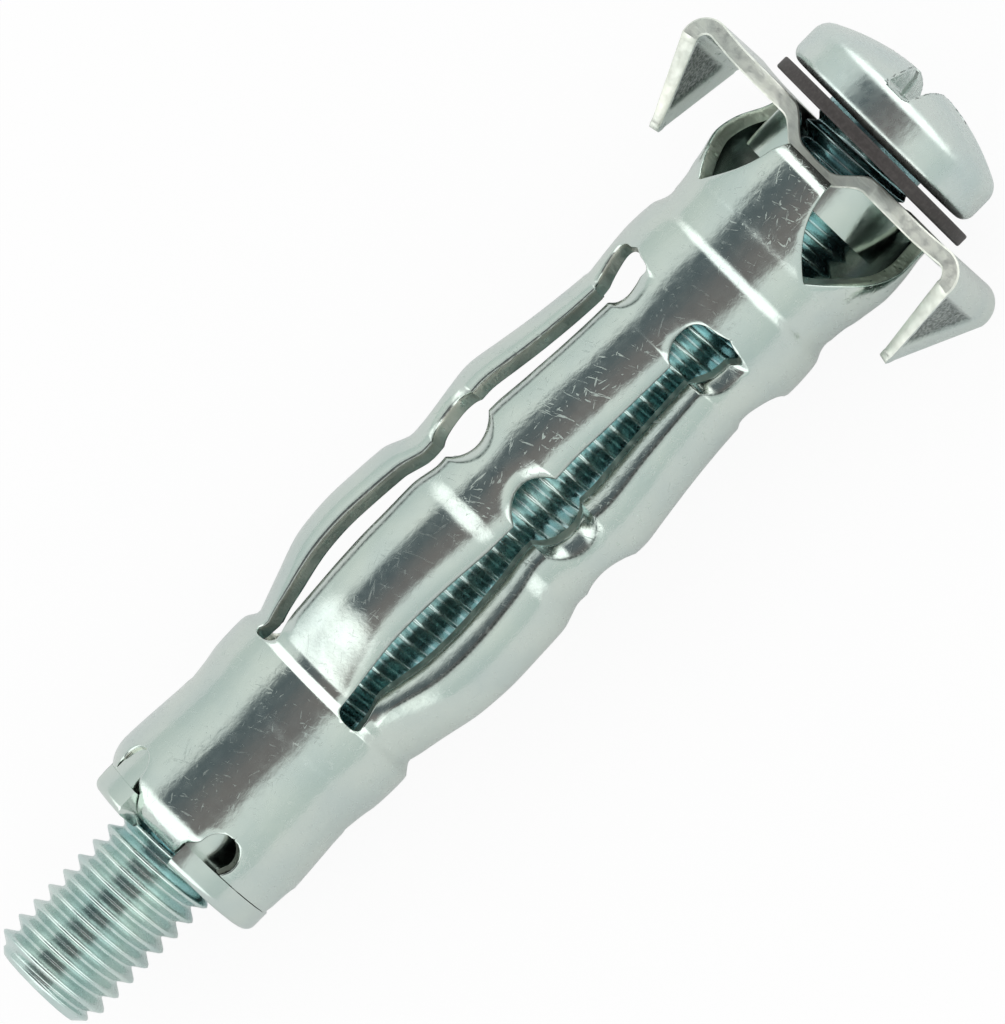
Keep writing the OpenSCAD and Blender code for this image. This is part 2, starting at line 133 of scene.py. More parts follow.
class Graph:
    """Nodes of one material or of the surroundings, linked as they are added."""

    def __init__(self, owner: bpy.types.Material | bpy.types.World) -> None:
        """Switches the owner to nodes."""
        owner.use_nodes = True
        self.nodes, self.links = owner.node_tree.nodes, owner.node_tree.links

    def feed(self, node: bpy.types.Node, inputs: dict[str | int, object]) -> None:
        """Fills a node's inputs.

        Args:
            node: Node to fill.
            inputs: Sockets, numbers or colours, by the input's name or number.
        """
        for key, value in inputs.items():
            if isinstance(value, Socket):
                self.links.new(value, node.inputs[key])
            else:
                node.inputs[key].default_value = value

    def add(self, kind: str, inputs: dict[str | int, object] | None = None,
            **settings: object) -> bpy.types.Node:
        """Adds a node.

        Args:
            kind: Its type, without the word that all shader nodes start with.
            inputs: Sockets, numbers or colours for its inputs.
            settings: Values of its own properties.

        Returns:
            The new node.
        """
        node = self.nodes.new("ShaderNode" + kind)
        for key, value in settings.items():
            setattr(node, key, value)
        self.feed(node, inputs or {})
        return node

    def noise(self, scale: float, detail: float, stretch: Sequence[float] = (1, 1, 1),
              angle: float = 0.0, wander: float = 0.0) -> Socket:
        """Adds a noise that is fixed to the piece.

        Args:
            scale: Number of its cells in a metre.
            detail: Levels of finer detail.
            stretch: How much finer it is along each axis.
            angle: Turn about the vertical, in degrees.
            wander: How far it is distorted.

        Returns:
            The noise's value.
        """
        place = self.add("Mapping", {
            "Vector": self.add("TexCoord").outputs["Object"], "Rotation": (0, 0, math.radians(angle)),
            "Scale": [1 / value for value in stretch]}, vector_type="TEXTURE")
        return self.add("TexNoise", {"Vector": place.outputs["Vector"], "Scale": scale,
                                     "Detail": detail, "Distortion": wander}).outputs["Fac"]

    def attribute(self, name: str) -> Socket:
        """Value that the mesh carries at its points, 0 where it carries none."""
        return self.add("Attribute", attribute_name=name).outputs["Fac"]

    def calc(self, operation: str, *values: Socket | float) -> Socket:
        """Result of an operation on sockets and numbers."""
        return self.add("Math", dict(enumerate(values)), operation=operation).outputs["Value"]

    def blend(self, share: Socket, first: Socket | Colour, second: Socket | Colour) -> Socket:
        """Mixes two colours, each a socket or a fixed colour."""
        a, b = (paint if isinstance(paint, Socket) else (*paint, 1) for paint in (first, second))
        return self.add("Mix", {"Factor": share, "A": a, "B": b}, data_type="RGBA").outputs["Result"]

    def ramp(self, value: Socket, low: float, high: float, to_low: float = 0.0, to_high: float = 1.0,
             shape: str = "LINEAR") -> Socket:
        """Maps a value from one range to another, and holds it to the second."""
        return self.add("MapRange", {"Value": value, "From Min": low, "From Max": high, "To Min": to_low,
                                     "To Max": to_high}, interpolation_type=shape).outputs["Result"]

    def bump(self, height: Socket, depth: float) -> Socket:
        """Surface direction under a relief of a given depth in millimetres."""
        bump = self.add("Bump", {"Height": height, "Strength": 1.0, "Distance": depth * MM})
        return bump.outputs["Normal"]


class Grain(Enum):
    """Surface that a zinc finish lies on."""

    ROLLED = "rolled sheet"
    SHEARED = "sheared edge"
    TURNED = "rolled thread and headed wire"


@dataclass(frozen=True)
class Zinc:
    """Bright zinc plate on steel, with painted shade mixed into its colour where the mesh marks it."""

    name: str
    tint: Colour
    shade: Colour
    grain: Grain
    roughness: float
    relief: float
    # Colour of painted shade, mixed in by the mesh's dark mark
    painted_shade_colour: Colour = (0.07, 0.09, 0.085)
    # Colour of painted shade in the thread's recesses, set by ambient occlusion
    painted_recess_shade: Colour = (0.41, 0.66, 0.68)
    cloud_scale: float = 420.0
    gloss_scale: float = 2600.0
    mottle_scale: float = 8000.0
    scratch_scale: float = 1500.0
    scratches: tuple[tuple[float, float], ...] = ((25.0, 0.645), (-60.0, 0.66), (85.0, 0.67))
    sky_reach: float = 3.0

    def material(self) -> bpy.types.Material:
        """Builds the node material.

        Returns:
            A metal with cloudy tint, uneven gloss, fine scratches and the bump of its grain, darkened with
            painted shade where the mesh marks it.
        """
        made = bpy.data.materials.new(self.name)
        graph = Graph(made)
        worn = graph.attribute("worn")
        # Painted shade: the mesh's dark mark, broken up by a fine mottle, darkens the colour
        mottling = graph.ramp(graph.noise(self.mottle_scale, 4.0), 0.36, 0.60, 0.55, 1.0)
        dark = graph.calc("MULTIPLY", graph.attribute("dark"), mottling)
        clouds = graph.ramp(graph.noise(self.cloud_scale, 3.0), 0.35, 0.68)
        colour = graph.blend(clouds, self.tint, self.shade)
        # Painted shade: thread deep inside the sleeve and under the head is darkened by ambient occlusion
        if self.grain is Grain.TURNED:
            colour = graph.blend(self.openness(graph), self.painted_recess_shade, colour)
        graph.feed(graph.nodes["Principled BSDF"], {
            "Metallic": 1.0, "Base Color": graph.blend(dark, colour, self.painted_shade_colour),
            "Roughness": self.gloss(graph, dark, worn),
            "Normal": graph.bump(self.marks(graph, worn), self.relief)})
        return made

    def openness(self, graph: Graph) -> Socket:
        """How open a place is, from 0 deep inside the sleeve to 1 outside it; the thread is painted with
        shade where it is low.

        Args:
            graph: Nodes to add to.

        Returns:
            A share from 0 to 1.
        """
        sky = graph.add("AmbientOcclusion", {"Distance": self.sky_reach * MM}, samples=8).outputs["AO"]
        light = graph.calc("MULTIPLY", graph.calc("SUBTRACT", sky, 0.12), 2.4)
        return graph.calc("MINIMUM", graph.calc("MAXIMUM", light, 0.0), 1.0)

    def gloss(self, graph: Graph, dark: Socket, worn: Socket) -> Socket:
        """Uneven roughness, duller where painted shade is marked and along scratches.

        Args:
            graph: Nodes to add to.
            dark: How much painted shade a place has.
            worn: How worn a place is.

        Returns:
            The roughness.
        """
        rough = graph.ramp(graph.noise(self.gloss_scale, 4.0), 0.3, 0.7,
                           self.roughness * 0.75, self.roughness * 1.35)
        rough = graph.calc("ADD", rough, graph.calc("MULTIPLY", dark, 0.25))
        if self.grain is Grain.ROLLED:
            share = graph.calc("ADD", 0.03, graph.calc("MULTIPLY", worn, 0.45))
            for angle, reach in self.scratches:
                lines = graph.noise(self.scratch_scale, 3.0, (4.0, 0.8, 1.5), angle, 1.3)
                lines = graph.calc("MULTIPLY", graph.ramp(lines, reach, reach + 0.03), share)
                rough = graph.calc("ADD", rough, lines)
        return rough

    def marks(self, graph: Graph, worn: Socket) -> Socket:
        """Fine relief that rolling, shearing or turning leaves.

        Args:
            graph: Nodes to add to.
            worn: How worn a place is.

        Returns:
            The relief's height.
        """
        if self.grain is Grain.SHEARED:
            return graph.noise(5200.0, 4.0, (1.6, 0.6, 0.6))
        if self.grain is Grain.TURNED:
            return graph.noise(3800.0, 4.0)
        fine = graph.calc("MULTIPLY", graph.noise(9000.0, 2.0), 0.12)
        coarse = graph.noise(1900.0, 6.0, (0.5, 1.0, 1.0))
        return graph.calc("MULTIPLY", graph.calc("ADD", coarse, fine), graph.calc("ADD", 0.75, worn))


@dataclass(frozen=True)
class Fibre:
    """Matt grey-brown washer material with a fine speckle."""

    name: str = "washer_fibre"
    colour: Colour = (0.037, 0.032, 0.030)
    speck: Colour = (0.060, 0.053, 0.050)
    roughness: float = 0.62
    relief: float = 0.007

    def material(self) -> bpy.types.Material:
        """Builds the node material.

        Returns:
            A dull material, speckled with fine pale grains and slightly uneven.
        """
        made = bpy.data.materials.new(self.name)
        graph = Graph(made)
        grain = graph.noise(7000.0, 3.0)
        graph.feed(graph.nodes["Principled BSDF"], {
            "Base Color": graph.blend(graph.ramp(grain, 0.42, 0.72), self.colour, self.speck),
            "Roughness": self.roughness, "Normal": graph.bump(grain, self.relief)})
        return made


SHEET_ZINC = Zinc("sheet_zinc", (0.59, 0.66, 0.61), (0.53, 0.61, 0.58), Grain.ROLLED, 0.17, 0.014)
HEAD_ZINC = Zinc("head_zinc", (0.61, 0.68, 0.64), (0.53, 0.62, 0.60), Grain.ROLLED, 0.27, 0.022)
EDGE_ZINC = Zinc("edge_zinc", (0.68, 0.70, 0.62), (0.42, 0.44, 0.39), Grain.SHEARED, 0.36, 0.030)
STRIP_EDGE = Zinc("strip_edge", (0.82, 0.84, 0.77), (0.62, 0.66, 0.61), Grain.SHEARED, 0.55, 0.020)
THREAD_ZINC = Zinc("thread_zinc", (0.61, 0.71, 0.67), (0.50, 0.62, 0.60), Grain.TURNED, 0.23, 0.012)


# ------------------------------------------------------------------------------- building meshes

def lay_down() -> Matrix:
    """Works out where the lying anchor is, from the boxes of the nut and the washer.

    Returns:
        Matrix from the upright anchor, in millimetres, to the frame, in metres.
    """
    low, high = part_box("washer")
    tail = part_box("threaded_nut")[0][0]
    axis_height = (low[2] + high[2]) / 2
    turn = Matrix.Rotation(math.radians(90), 4, "Y") @ Matrix.Rotation(math.radians(180), 4, "Z")
    return Matrix.Translation((tail, 0, axis_height)) @ turn @ Matrix.Scale(MM, 4)


def add_object(name: str, data: bpy.types.ID) -> bpy.types.Object:
    """Puts a mesh or a camera into the scene, at the origin.

    Args:
        name: Name of the object.
        data: Its mesh or camera.

    Returns:
        The new object.
    """
    made = bpy.data.objects.new(name, data)
    bpy.context.scene.collection.objects.link(made)
    return made


class Surface:
    """Points and faces of a mesh that is being put together."""

    def __init__(self) -> None:
        """Starts with no points."""
        self.points: list[Point] = []
        self.faces: list[tuple[int, ...]] = []
        self.slots: list[int] = []
        self.marks: list[tuple[float, float]] = []

    def grid(self, rows: Sequence[Sequence[Point]], closed: bool = False, flip: bool = False,
             slot: int = 0, mark: Callable[[int, int], tuple[float, float]] | None = None) -> None:
        """Adds a grid of quads.

        Args:
            rows: Rows of points, all of one length.
            closed: Whether each row closes on itself.
            flip: Whether to turn the faces over.
            slot: Material slot of the faces.
            mark: Gives how much painted shade and how worn a point is, by its row and its place in the row.
        """
        start, width = len(self.points), len(rows[0])
        for j, row in enumerate(rows):
            self.points.extend(row)
            self.marks.extend(mark(j, i) if mark else (0.0, 0.0) for i in range(width))
        for j in range(len(rows) - 1):
            for i in range(width if closed else width - 1):
                a, b = start + j * width + i, start + j * width + (i + 1) % width
                self.face((a, b, b + width, a + width), flip, slot)

    def face(self, corners: tuple[int, ...], flip: bool, slot: int) -> None:
        """Adds one face on points that are there."""
        self.faces.append(corners[::-1] if flip else corners)
        self.slots.append(slot)

    def lathe(self, outline: Sequence[tuple[float, float]], steps: int) -> None:
        """Adds a turned surface.

        Args:
            outline: Points of radius and height.
            steps: Number of points round the axis.
        """
        self.grid([circle(r, z, steps) for r, z in outline], closed=True)

    def cap(self, ring: Sequence[Point], flip: bool = False, slot: int = 0) -> None:
        """Adds one flat face through a ring of points.

        Args:
            ring: Corners of the face.
            flip: Whether to turn the face over.
            slot: Material slot of the face.
        """
        start = len(self.points)
        self.points.extend(ring)
        self.marks.extend((0.0, 0.0) for _ in ring)
        self.face(tuple(range(start, start + len(ring))), flip, slot)

    def build(self, name: str, place: Matrix, materials: Sequence[bpy.types.Material],
              weld: float = 0.002, sharp: float = 180.0) -> bpy.types.Object:
        """Makes the object.

        Args:
            name: Name of the piece.
            place: Matrix from these points to the frame.
            materials: Materials of the piece's slots.
            weld: Points nearer than this, in millimetres, become one.
            sharp: Least angle between faces that is shaded as an edge, in degrees.

        Returns:
            The new object, smooth shaded, with its place in its mesh.
        """
        mesh = bpy.data.meshes.new(name)
        mesh.from_pydata(self.points, [], self.faces)
        mesh.polygons.foreach_set("material_index", self.slots)
        # Each point carries its painted shade as dark and its wear as worn
        for carried, values in zip(("dark", "worn"), zip(*self.marks)):
            mesh.attributes.new(carried, "FLOAT", "POINT").data.foreach_set("value", values)
        work = bmesh.new()
        work.from_mesh(mesh)
        bmesh.ops.remove_doubles(work, verts=work.verts, dist=weld)
        bmesh.ops.dissolve_degenerate(work, dist=weld / 2, edges=work.edges)
        bmesh.ops.recalc_face_normals(work, faces=work.faces)
        for face in work.faces:
            face.smooth = True
        work.transform(place)
        work.to_mesh(mesh)
        work.free()
        mesh.set_sharp_from_angle(angle=math.radians(sharp))
        for material in materials:
            mesh.materials.append(material)
        return add_object(name, mesh)


def soften(piece: bpy.types.Object, width: float, angle: float, segments: int) -> None:
    """Breaks a piece's sharp edges.

    Args:
        piece: Object to bevel.
        width: Width of the bevel in millimetres.
        angle: Least angle between faces that counts as an edge, in degrees.
        segments: Faces across the bevel.
    """
    bevel = piece.modifiers.new("edges", "BEVEL")
    bevel.width = width * MM
    bevel.segments = segments
    bevel.limit_method = "ANGLE"
    bevel.angle_limit = math.radians(angle)
    bevel.use_clamp_overlap = False
    bevel.harden_normals = False


def cut_away(piece: bpy.types.Object, cutter: bpy.types.Object) -> None:
    """Cuts one solid out of another.

    Args:
        piece: Object to cut.
        cutter: Object that is taken out of it.
    """
    cut = piece.modifiers.new(cutter.name, "BOOLEAN")
    cut.operation = "DIFFERENCE"
    cut.solver = "EXACT"
    cut.object = cutter


def settle(piece: bpy.types.Object) -> None:
    """Applies all of a piece's modifiers to its mesh.

    Args:
        piece: Object with modifiers.
    """
    bpy.context.view_layer.update()
    finished = bpy.data.meshes.new_from_object(piece.evaluated_get(bpy.context.evaluated_depsgraph_get()))
    piece.modifiers.clear()
    piece.data = finished


def place_piece(piece: bpy.types.Object, body: str, node: str) -> None:
    """Ties a finished piece to what it belongs to, and reports it.

    Args:
        piece: Finished piece.
        body: Body that it moves with.
        node: Solid that it stands for.
    """
    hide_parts(node)
    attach(piece, body)
    log.info("%s: %d faces, on %s", piece.name, len(piece.data.polygons), body)


# ------------------------------------------------------------------------------------- the sleeve

@dataclass(frozen=True)
class Lip:
    """Edge of a leg that is bent inwards; its sizes are 0 where there is none."""

    width: float = 0.0
    drop: float = 0.0
    reach: float = 0.0


@dataclass
class Section:
    """Cross-section of one strip of the sleeve's sheet."""

    outer: list[Point]
    inner: list[Point]
    sides: list[list[Point]]
    cut: list[bool]

    def ring(self) -> list[Point]:
        """Outline of the section, once round."""
        left, right = self.sides
        return self.outer + right[1:-1] + self.inner[::-1] + left[-2:0:-1]


@dataclass
class Sleeve:
    """Rolled sleeve with five legs, straps at its tail, and a tongue and notches at its head."""

    length: float = 36.4
    sheet: float = 0.62
    barrel_r: float = 4.32
    legs: int = 5
    # Slots, with a round hole in the middle and a keyhole at the head end
    slot_start: float = 8.5
    slot_stop: float = 28.8
    slot_round: float = 0.3
    hole_at: float = 19.5
    hole_len: float = 2.8
    hole_w: float = 3.4
    keyhole_at: float = 27.65
    keyhole_len: float = 2.3
    keyhole_w: float = 3.0
    keyhole_power: float = 3.2
    # Tail end, with relief holes and straps that are folded in over the nut
    relief_r: float = 0.83
    relief_at: float = 1.62
    end_z: float = 1.09
    strap_half: float = 19.0
    strap_flare: float = 0.75
    strap_sink: float = 0.4
    strap_bend: float = 1.6
    strap_gap: float = 0.02
    strap_legs: tuple[int, ...] = (0, 2, 4)
    # Head end, with the tongue, the notches and the flare of the barrel beside them
    notch_len: float = 4.0
    tongue_half: float = 17.5
    notch_tip: float = 44.0
    notch_far: float = 100.0
    tongue_bend: float = 1.3
    tongue_drop: float = 0.46
    tongue_rise: float = 0.55
    flare: float = 0.14
    flare_at: float = 80.0
    flare_half: float = 32.0
    flare_run: tuple[float, ...] = (33.0, 34.2, 35.0, 36.3)
    # Edges: columns of points beside them, inward lips with their last column, drop and reach, rolled
    # corners, sheared sides, and fine lines of painted shade by their column from an edge or from a lip's
    # last one
    margin: tuple[float, ...] = (
        0.0, 0.012, 0.03, 0.06, 0.14, 0.26, 0.38, 0.46, 0.54, 0.64, 0.76, 0.86, 0.96)
    lips: tuple[tuple[int, float, float], ...] = ((11, 0.34, 0.66), (7, 0.48, 0.46))
    lip_shade_lines: tuple[tuple[int, float], ...] = ((0, 1.0), (1, 0.25))
    edge_shade_lines: tuple[tuple[int, float], ...] = ((3, 0.7), (4, 0.35))
    least_gap: float = 0.15
    corner_r: float = 0.06
    roll_width: float = 0.4
    roll_depth: float = 0.04
    side_depth: tuple[float, ...] = (0.0, 0.30, 0.38, 0.88, 1.0)
    side_recess: tuple[float, ...] = (0.0, 0.0, 0.03, 0.04, 0.09)
    open_from: float = 0.25
    column_step: float = 1.6
    inner_step: int = 4
    probe: float = 0.02
    # Radius over the middle of a leg, wear and crown of the legs, and width of a slot
    crown_centre: float = 0.75
    profile: Knots = (
        (1.09, 4.22), (1.5, 4.29), (2.2, 4.30), (3.0, 4.26), (4.0, 4.19), (4.8, 4.13), (5.3, 4.11),
        (5.45, 4.08), (5.62, 4.10), (6.3, 4.18), (6.8, 4.27), (7.6, 4.32), (8.2, 4.32), (8.5, 4.29),
        (8.9, 4.06), (9.0, 4.03), (9.08, 4.045), (9.6, 4.23), (10.7, 4.62), (11.6, 4.94),
        (12.2, 5.10), (13.0, 5.20), (13.9, 5.25), (14.8, 5.22), (16.6, 5.09), (16.9, 5.02),
        (17.3, 4.85), (17.68, 4.69), (17.9, 4.65), (18.2, 4.66), (18.9, 4.73), (20.2, 4.92),
        (21.0, 5.01), (21.5, 4.99), (22.6, 4.80), (23.9, 4.58), (25.3, 4.39), (26.5, 4.26),
        (26.76, 4.24), (26.86, 4.205), (26.96, 4.20), (27.4, 4.25), (28.1, 4.33), (28.9, 4.40),
        (29.5, 4.41), (30.3, 4.36), (30.6, 4.30), (30.95, 4.14), (31.25, 4.08), (31.38, 4.085),
        (31.48, 4.115), (31.6, 4.12), (32.2, 4.19), (32.7, 4.31), (33.5, 4.42), (34.3, 4.46),
        (35.3, 4.40), (36.4, 4.32))
    wear: Knots = (
        (0.0, 0.5), (4.5, 0.45), (6.5, 0.3), (8.0, 0.7), (9.0, 0.3), (12.0, 0.3), (16.5, 0.3),
        (18.0, 0.8), (19.5, 0.6), (20.6, 1.0), (25.6, 1.0), (26.8, 0.5), (29.0, 0.4), (31.0, 0.3),
        (33.0, 0.8), (35.0, 0.9), (36.4, 0.4))
    crown: Knots = (
        (8.5, 0.0), (9.4, 0.02), (10.6, 0.22), (12.3, 0.45), (16.6, 0.45), (18.0, 0.3), (19.5, 0.34),
        (21.2, 0.42), (23.9, 0.34), (26.9, 0.2), (28.8, 0.0))
    slot_run: Knots = (
        (8.5, 1.2), (10.1, 1.6), (12.1, 2.08), (14.7, 2.05), (18.0, 1.65), (21.5, 2.0), (23.5, 1.85),
        (26.9, 1.65), (28.8, 1.65))

    def turn(self, distance: float) -> float:
        """Angle in degrees that a distance in millimetres spans on the barrel."""
        return math.degrees(distance / self.barrel_r)

    def slot_half(self, z: float) -> float:
        """Measures the opening between two strips of sheet.

        Args:
            z: Height to measure at.

        Returns:
            Half of the opening's angle in degrees; 0 where the sheet is closed.
        """
        width = 0.0
        if z < self.relief_at + self.relief_r:
            share = (z - self.relief_at) / self.relief_r
            width = 2 * self.relief_r * math.sqrt(max(0.0, 1 - share ** 2))
        elif self.slot_start < z < self.slot_stop:
            width = smooth(self.slot_run, z)
            if z < self.slot_start + self.slot_round:
                width *= math.sqrt(1 - (1 - (z - self.slot_start) / self.slot_round) ** 2)
            share = 2 * (z - self.hole_at) / self.hole_len
            if abs(share) < 1:
                width = max(width, self.hole_w * math.sqrt(1 - share ** 2))
            share = 2 * (z - self.keyhole_at) / self.keyhole_len
            if abs(share) < 1:
                power = 2.0 if share < 0 else self.keyhole_power
                width = max(width if share < 0 else 0.0,
                            self.keyhole_w * (1 - abs(share) ** power) ** (1 / power))
        return math.degrees(math.asin(width / 2 / self.barrel_r))

    def notch(self, z: float) -> tuple[float, float]:
        """Measures a notch beside the tongue.

        Args:
            z: Height to measure at.

        Returns:
            Angles of the notch's two sides, from the middle of the tongue.
        """
        share = (z - (self.length - self.notch_len)) / self.notch_len
        if share <= 0:
            return self.notch_tip, self.notch_tip
        rest = max(0.0, 1 - share)
        return (self.tongue_half + (self.notch_tip - self.tongue_half) * rest ** 3,
                self.notch_far - (self.notch_far - self.notch_tip) * rest ** 1.25)

    def lip(self, leg: int, z: float) -> Lip:
        """Measures the lip along the first edge of a leg, which is bent inwards.

        Args:
            leg: Number of the strip.
            z: Height to measure at.

        Returns:
            The lip's width, its drop at the edge, and how far it reaches into the slot.
        """
        if leg >= len(self.lips):
            return Lip()
        column, drop, reach = self.lips[leg]
        share = window(self.slot_start + 0.3, self.slot_start + 1.7,
                       self.slot_stop - 0.6, self.slot_stop - 0.05, z)
        return Lip(self.margin[column], drop * share, reach * share)

    def edges(self, leg: int, z: float) -> tuple[float, float]:
        """Finds the two sides of a strip of sheet.

        Args:
            leg: Number of the strip, 0 for the one with the tongue.
            z: Height to measure at.

        Returns:
            Angles of the first and the last edge.
        """
        half = 180 / self.legs
        left, right = -half, half
        if z > self.slot_stop:
            shift = ease(self.slot_stop + 0.3, self.length - self.notch_len - 0.3, z)
            near, far = self.notch(z)
            if leg == 0:
                left, right = mix(-half, -near, shift), mix(half, near, shift)
            elif leg == 1:
                left = mix(-half, far - 2 * half, shift)
            elif leg == self.legs - 1:
                right = mix(half, 2 * half - far, shift)
        else:
            gap = self.slot_half(z)
            if z < self.relief_at and leg in self.strap_legs:
                gap = mix(self.slot_half(self.relief_at), half - self.strap_half,
                          1 - ease(self.relief_at - self.strap_flare, self.relief_at, z))
            left += max(gap - self.turn(self.lip(leg, z).reach), self.least_gap * gap)
            right -= gap
        return 2 * half * leg + left, 2 * half * leg + right

    def openings(self, leg: int, along: float) -> list[float]:
        """Measures the slots beside a strip.

        Args:
            leg: Number of the strip.
            along: Distance along the sheet from the tail end.

        Returns:
            Open widths beside its two edges, in millimetres; 0 where the sheet is closed.
        """
        left, right = self.edges(leg, along)
        before = self.edges((leg - 1) % self.legs, along)[1] - (360 if leg == 0 else 0)
        after = self.edges((leg + 1) % self.legs, along)[0] + (360 if leg == self.legs - 1 else 0)
        return [(left - before) / self.turn(1.0), (after - right) / self.turn(1.0)]

    def path(self, leg: int, along: float) -> tuple[float, float]:
        """Follows the outer face, over the fold of a strap and the bend of the tongue.

        Args:
            leg: Number of the strip.
            along: Distance along the sheet from the tail end, which is the height before any bending.

        Returns:
            Radius and height in millimetres.
        """
        fold = self.strap_sink + self.strap_bend
        if leg in self.strap_legs and along < fold:
            turn = (fold - along) / self.strap_bend
            centre_r = self.barrel_r - self.strap_gap - self.strap_bend
            if turn > math.pi / 2:
                return centre_r - self.strap_bend * (turn - math.pi / 2), self.strap_sink
            return centre_r + self.strap_bend * math.cos(turn), fold - self.strap_bend * math.sin(turn)
        bend_from = self.length - self.tongue_bend
        if leg == 0 and along > bend_from:
            share = (along - bend_from) / self.tongue_bend
            return (smooth(self.profile, bend_from) - self.tongue_drop * share ** 1.6,
                    bend_from + self.tongue_bend * self.tongue_rise * share)
        return smooth(self.profile, along), along

    def stations(self) -> list[float]:
        """Chooses where along the sheet its sections lie, closer together where it turns.

        Returns:
            Distances along the sheet from the tail end.
        """
        hole, keyhole = self.hole_len / 2, self.keyhole_len / 2
        notch_from = self.length - self.notch_len
        marks = [self.strap_sink + self.strap_bend]
        marks += [self.slot_start + self.slot_round * (1 - math.cos(math.radians(a)))
                  for a in range(10, 91, 16)]
        for low, high, count in (
                (self.end_z, self.relief_at, 8), (2.5, self.slot_start, 36),
                (self.slot_start + 0.4, self.hole_at - hole, 52),
                (self.hole_at + hole, self.keyhole_at - keyhole, 26), (self.slot_stop, notch_from, 26),
                (notch_from + 0.04, self.length - 0.02, 36)):
            marks += spread(low, high, count)
        for centre, reach, first, step in (
                (self.relief_at, self.relief_r, 8, 7), (self.hole_at, hole, -84, 7),
                (self.keyhole_at, keyhole, -84, 6)):
            marks += [centre + reach * math.sin(math.radians(a)) for a in range(first, 90, step)]
        marks = sorted(marks)
        return [m for i, m in enumerate(marks) if i == 0 or m - marks[i - 1] > 0.012]

    def columns(self, leg: int, left: float, right: float) -> list[float]:
        """Chooses the columns of points across a strip: evenly spaced, and some close to each edge.

        Args:
            leg: Number of the strip.
            left: Angle of its first edge.
            right: Angle of its last edge.

        Returns:
            Angles in rising order; those that would lie outside come to the margin's inner end.
        """
        half = 180 / self.legs
        middle = 2 * half * leg
        reach = self.notch_tip if leg == 0 else half
        fit = min(1.0, 0.42 * (right - left) / self.turn(self.margin[-1]))
        edge = [self.turn(step) * fit for step in self.margin]
        inner = spread(middle - reach, middle + reach, round(2 * reach / self.column_step) + 1)
        low, high = left + edge[-1], right - edge[-1]
        return ([left + e for e in edge] + [min(max(a, low), high) for a in inner]
                + [right - e for e in reversed(edge)])

    def fall(self, distance: float, lip: Lip) -> float:
        """Measures how far the outer face falls away beside a cut edge.

        Args:
            distance: Distance from the edge.
            lip: Lip that the edge is bent into.

        Returns:
            The fall in millimetres.
        """
        roll = self.roll_depth * max(0.0, 1 - distance / self.roll_width) ** 2
        bent = lip.drop * max(0.0, 1 - distance / lip.width) ** 1.2 if lip.width > 0 else 0.0
        corner = min(1.0, max(0.0, 1 - distance / self.corner_r))
        return max(roll, bent) + self.corner_r * (1 - math.sqrt(1 - corner ** 2))

    def stand(self, leg: int, along: float, angle: float) -> float:
        """Measures how far the outer face stands out from its path.

        Args:
            leg: Number of the strip.
            along: Distance along the sheet from the tail end.
            angle: Angle round the axis.

        Returns:
            The height in millimetres, below 0 beside the crown of a leg.
        """
        middle = 360 / self.legs * leg
        left, right = self.edges(leg, along)
        across = abs((angle - middle) / ((right - middle) if angle > middle else (middle - left)))
        crown = smooth(self.crown, along) * mix(across ** 4, across ** 2, self.crown_centre)
        aside = abs(angle if angle < 180 else angle - 360)
        swell = max(0.0, 1 - ((aside - self.flare_at) / self.flare_half) ** 2)
        return self.flare * swell * window(*self.flare_run, along) - crown

    def section(self, leg: int, along: float) -> Section:
        """Cuts one strip across.

        Args:
            leg: Number of the strip.
            along: Distance along the sheet from the tail end.

        Returns:
            The section, square to the sheet's path.
        """
        left, right = self.edges(leg, along)
        radius, z = self.path(leg, along)
        (r0, z0), (r1, z1) = self.path(leg, along - self.probe), self.path(leg, along + self.probe)
        run = math.hypot(r1 - r0, z1 - z0)
        under_r, under_z = radius - self.sheet * (z1 - z0) / run, z + self.sheet * (r1 - r0) / run
        gaps = self.openings(leg, along)
        free = [min(1.0, max(0.0, gap) / self.open_from) for gap in gaps]
        angles = self.columns(leg, left, right)
        lips = (self.lip(leg, along), Lip())
        outer = []
        for angle in angles:
            drop = max(free[0] * self.fall((angle - left) / self.turn(1.0), lips[0]),
                       free[1] * self.fall((right - angle) / self.turn(1.0), lips[1]))
            outer.append(polar(radius + self.stand(leg, along, angle) - drop, angle, z))
        recess = self.turn(self.side_recess[-1])
        low, high = left + free[0] * recess, right - free[1] * recess
        margin = len(self.margin)
        inner = [low] + [min(max(a, low), high) for a in angles[margin:-margin:self.inner_step]] + [high]
        sides = []
        for edge, way, share, lip in zip((left, right), (1, -1), free, lips):
            stand = self.stand(leg, along, edge)
            top = radius + stand - share * self.fall(0.0, lip)
            foot = under_r + (stand - share * lip.drop)
            sides.append([polar(mix(top, foot, depth), edge + way * share * self.turn(back),
                                mix(z, under_z, depth))
                          for depth, back in zip(self.side_depth, self.side_recess)])
        under = [polar(under_r + self.stand(leg, along, a), a, under_z) for a in inner]
        under[0], under[-1] = sides[0][-1], sides[1][-1]
        return Section(outer, under, sides, [gap > 1e-4 for gap in gaps])

    def look(self, leg: int, along: float, column: int, count: int) -> tuple[float, float]:
        """Tells how the outer face looks: fine lines of painted shade run beside the slots.

        Args:
            leg: Number of the strip.
            along: Distance along the sheet from the tail end.
            column: Number of the point across the strip.
            count: Points across the strip.

        Returns:
            How much painted shade it carries and how worn it is, two shares from 0 to 1.
        """
        slotted = window(self.slot_start + 0.9, self.slot_start + 2.2,
                         self.slot_stop - 1.2, self.slot_stop - 0.3, along)
        # Painted shade: dark lines beside the cut edges and the lips, where the slots throw shade
        dark = dict(self.edge_shade_lines).get(count - column, 0.0)
        if leg < len(self.lips):
            dark = max(dark, dict(self.lip_shade_lines).get(abs(column - self.lips[leg][0]), 0.0))
        return dark * slotted, smooth(self.wear, along)

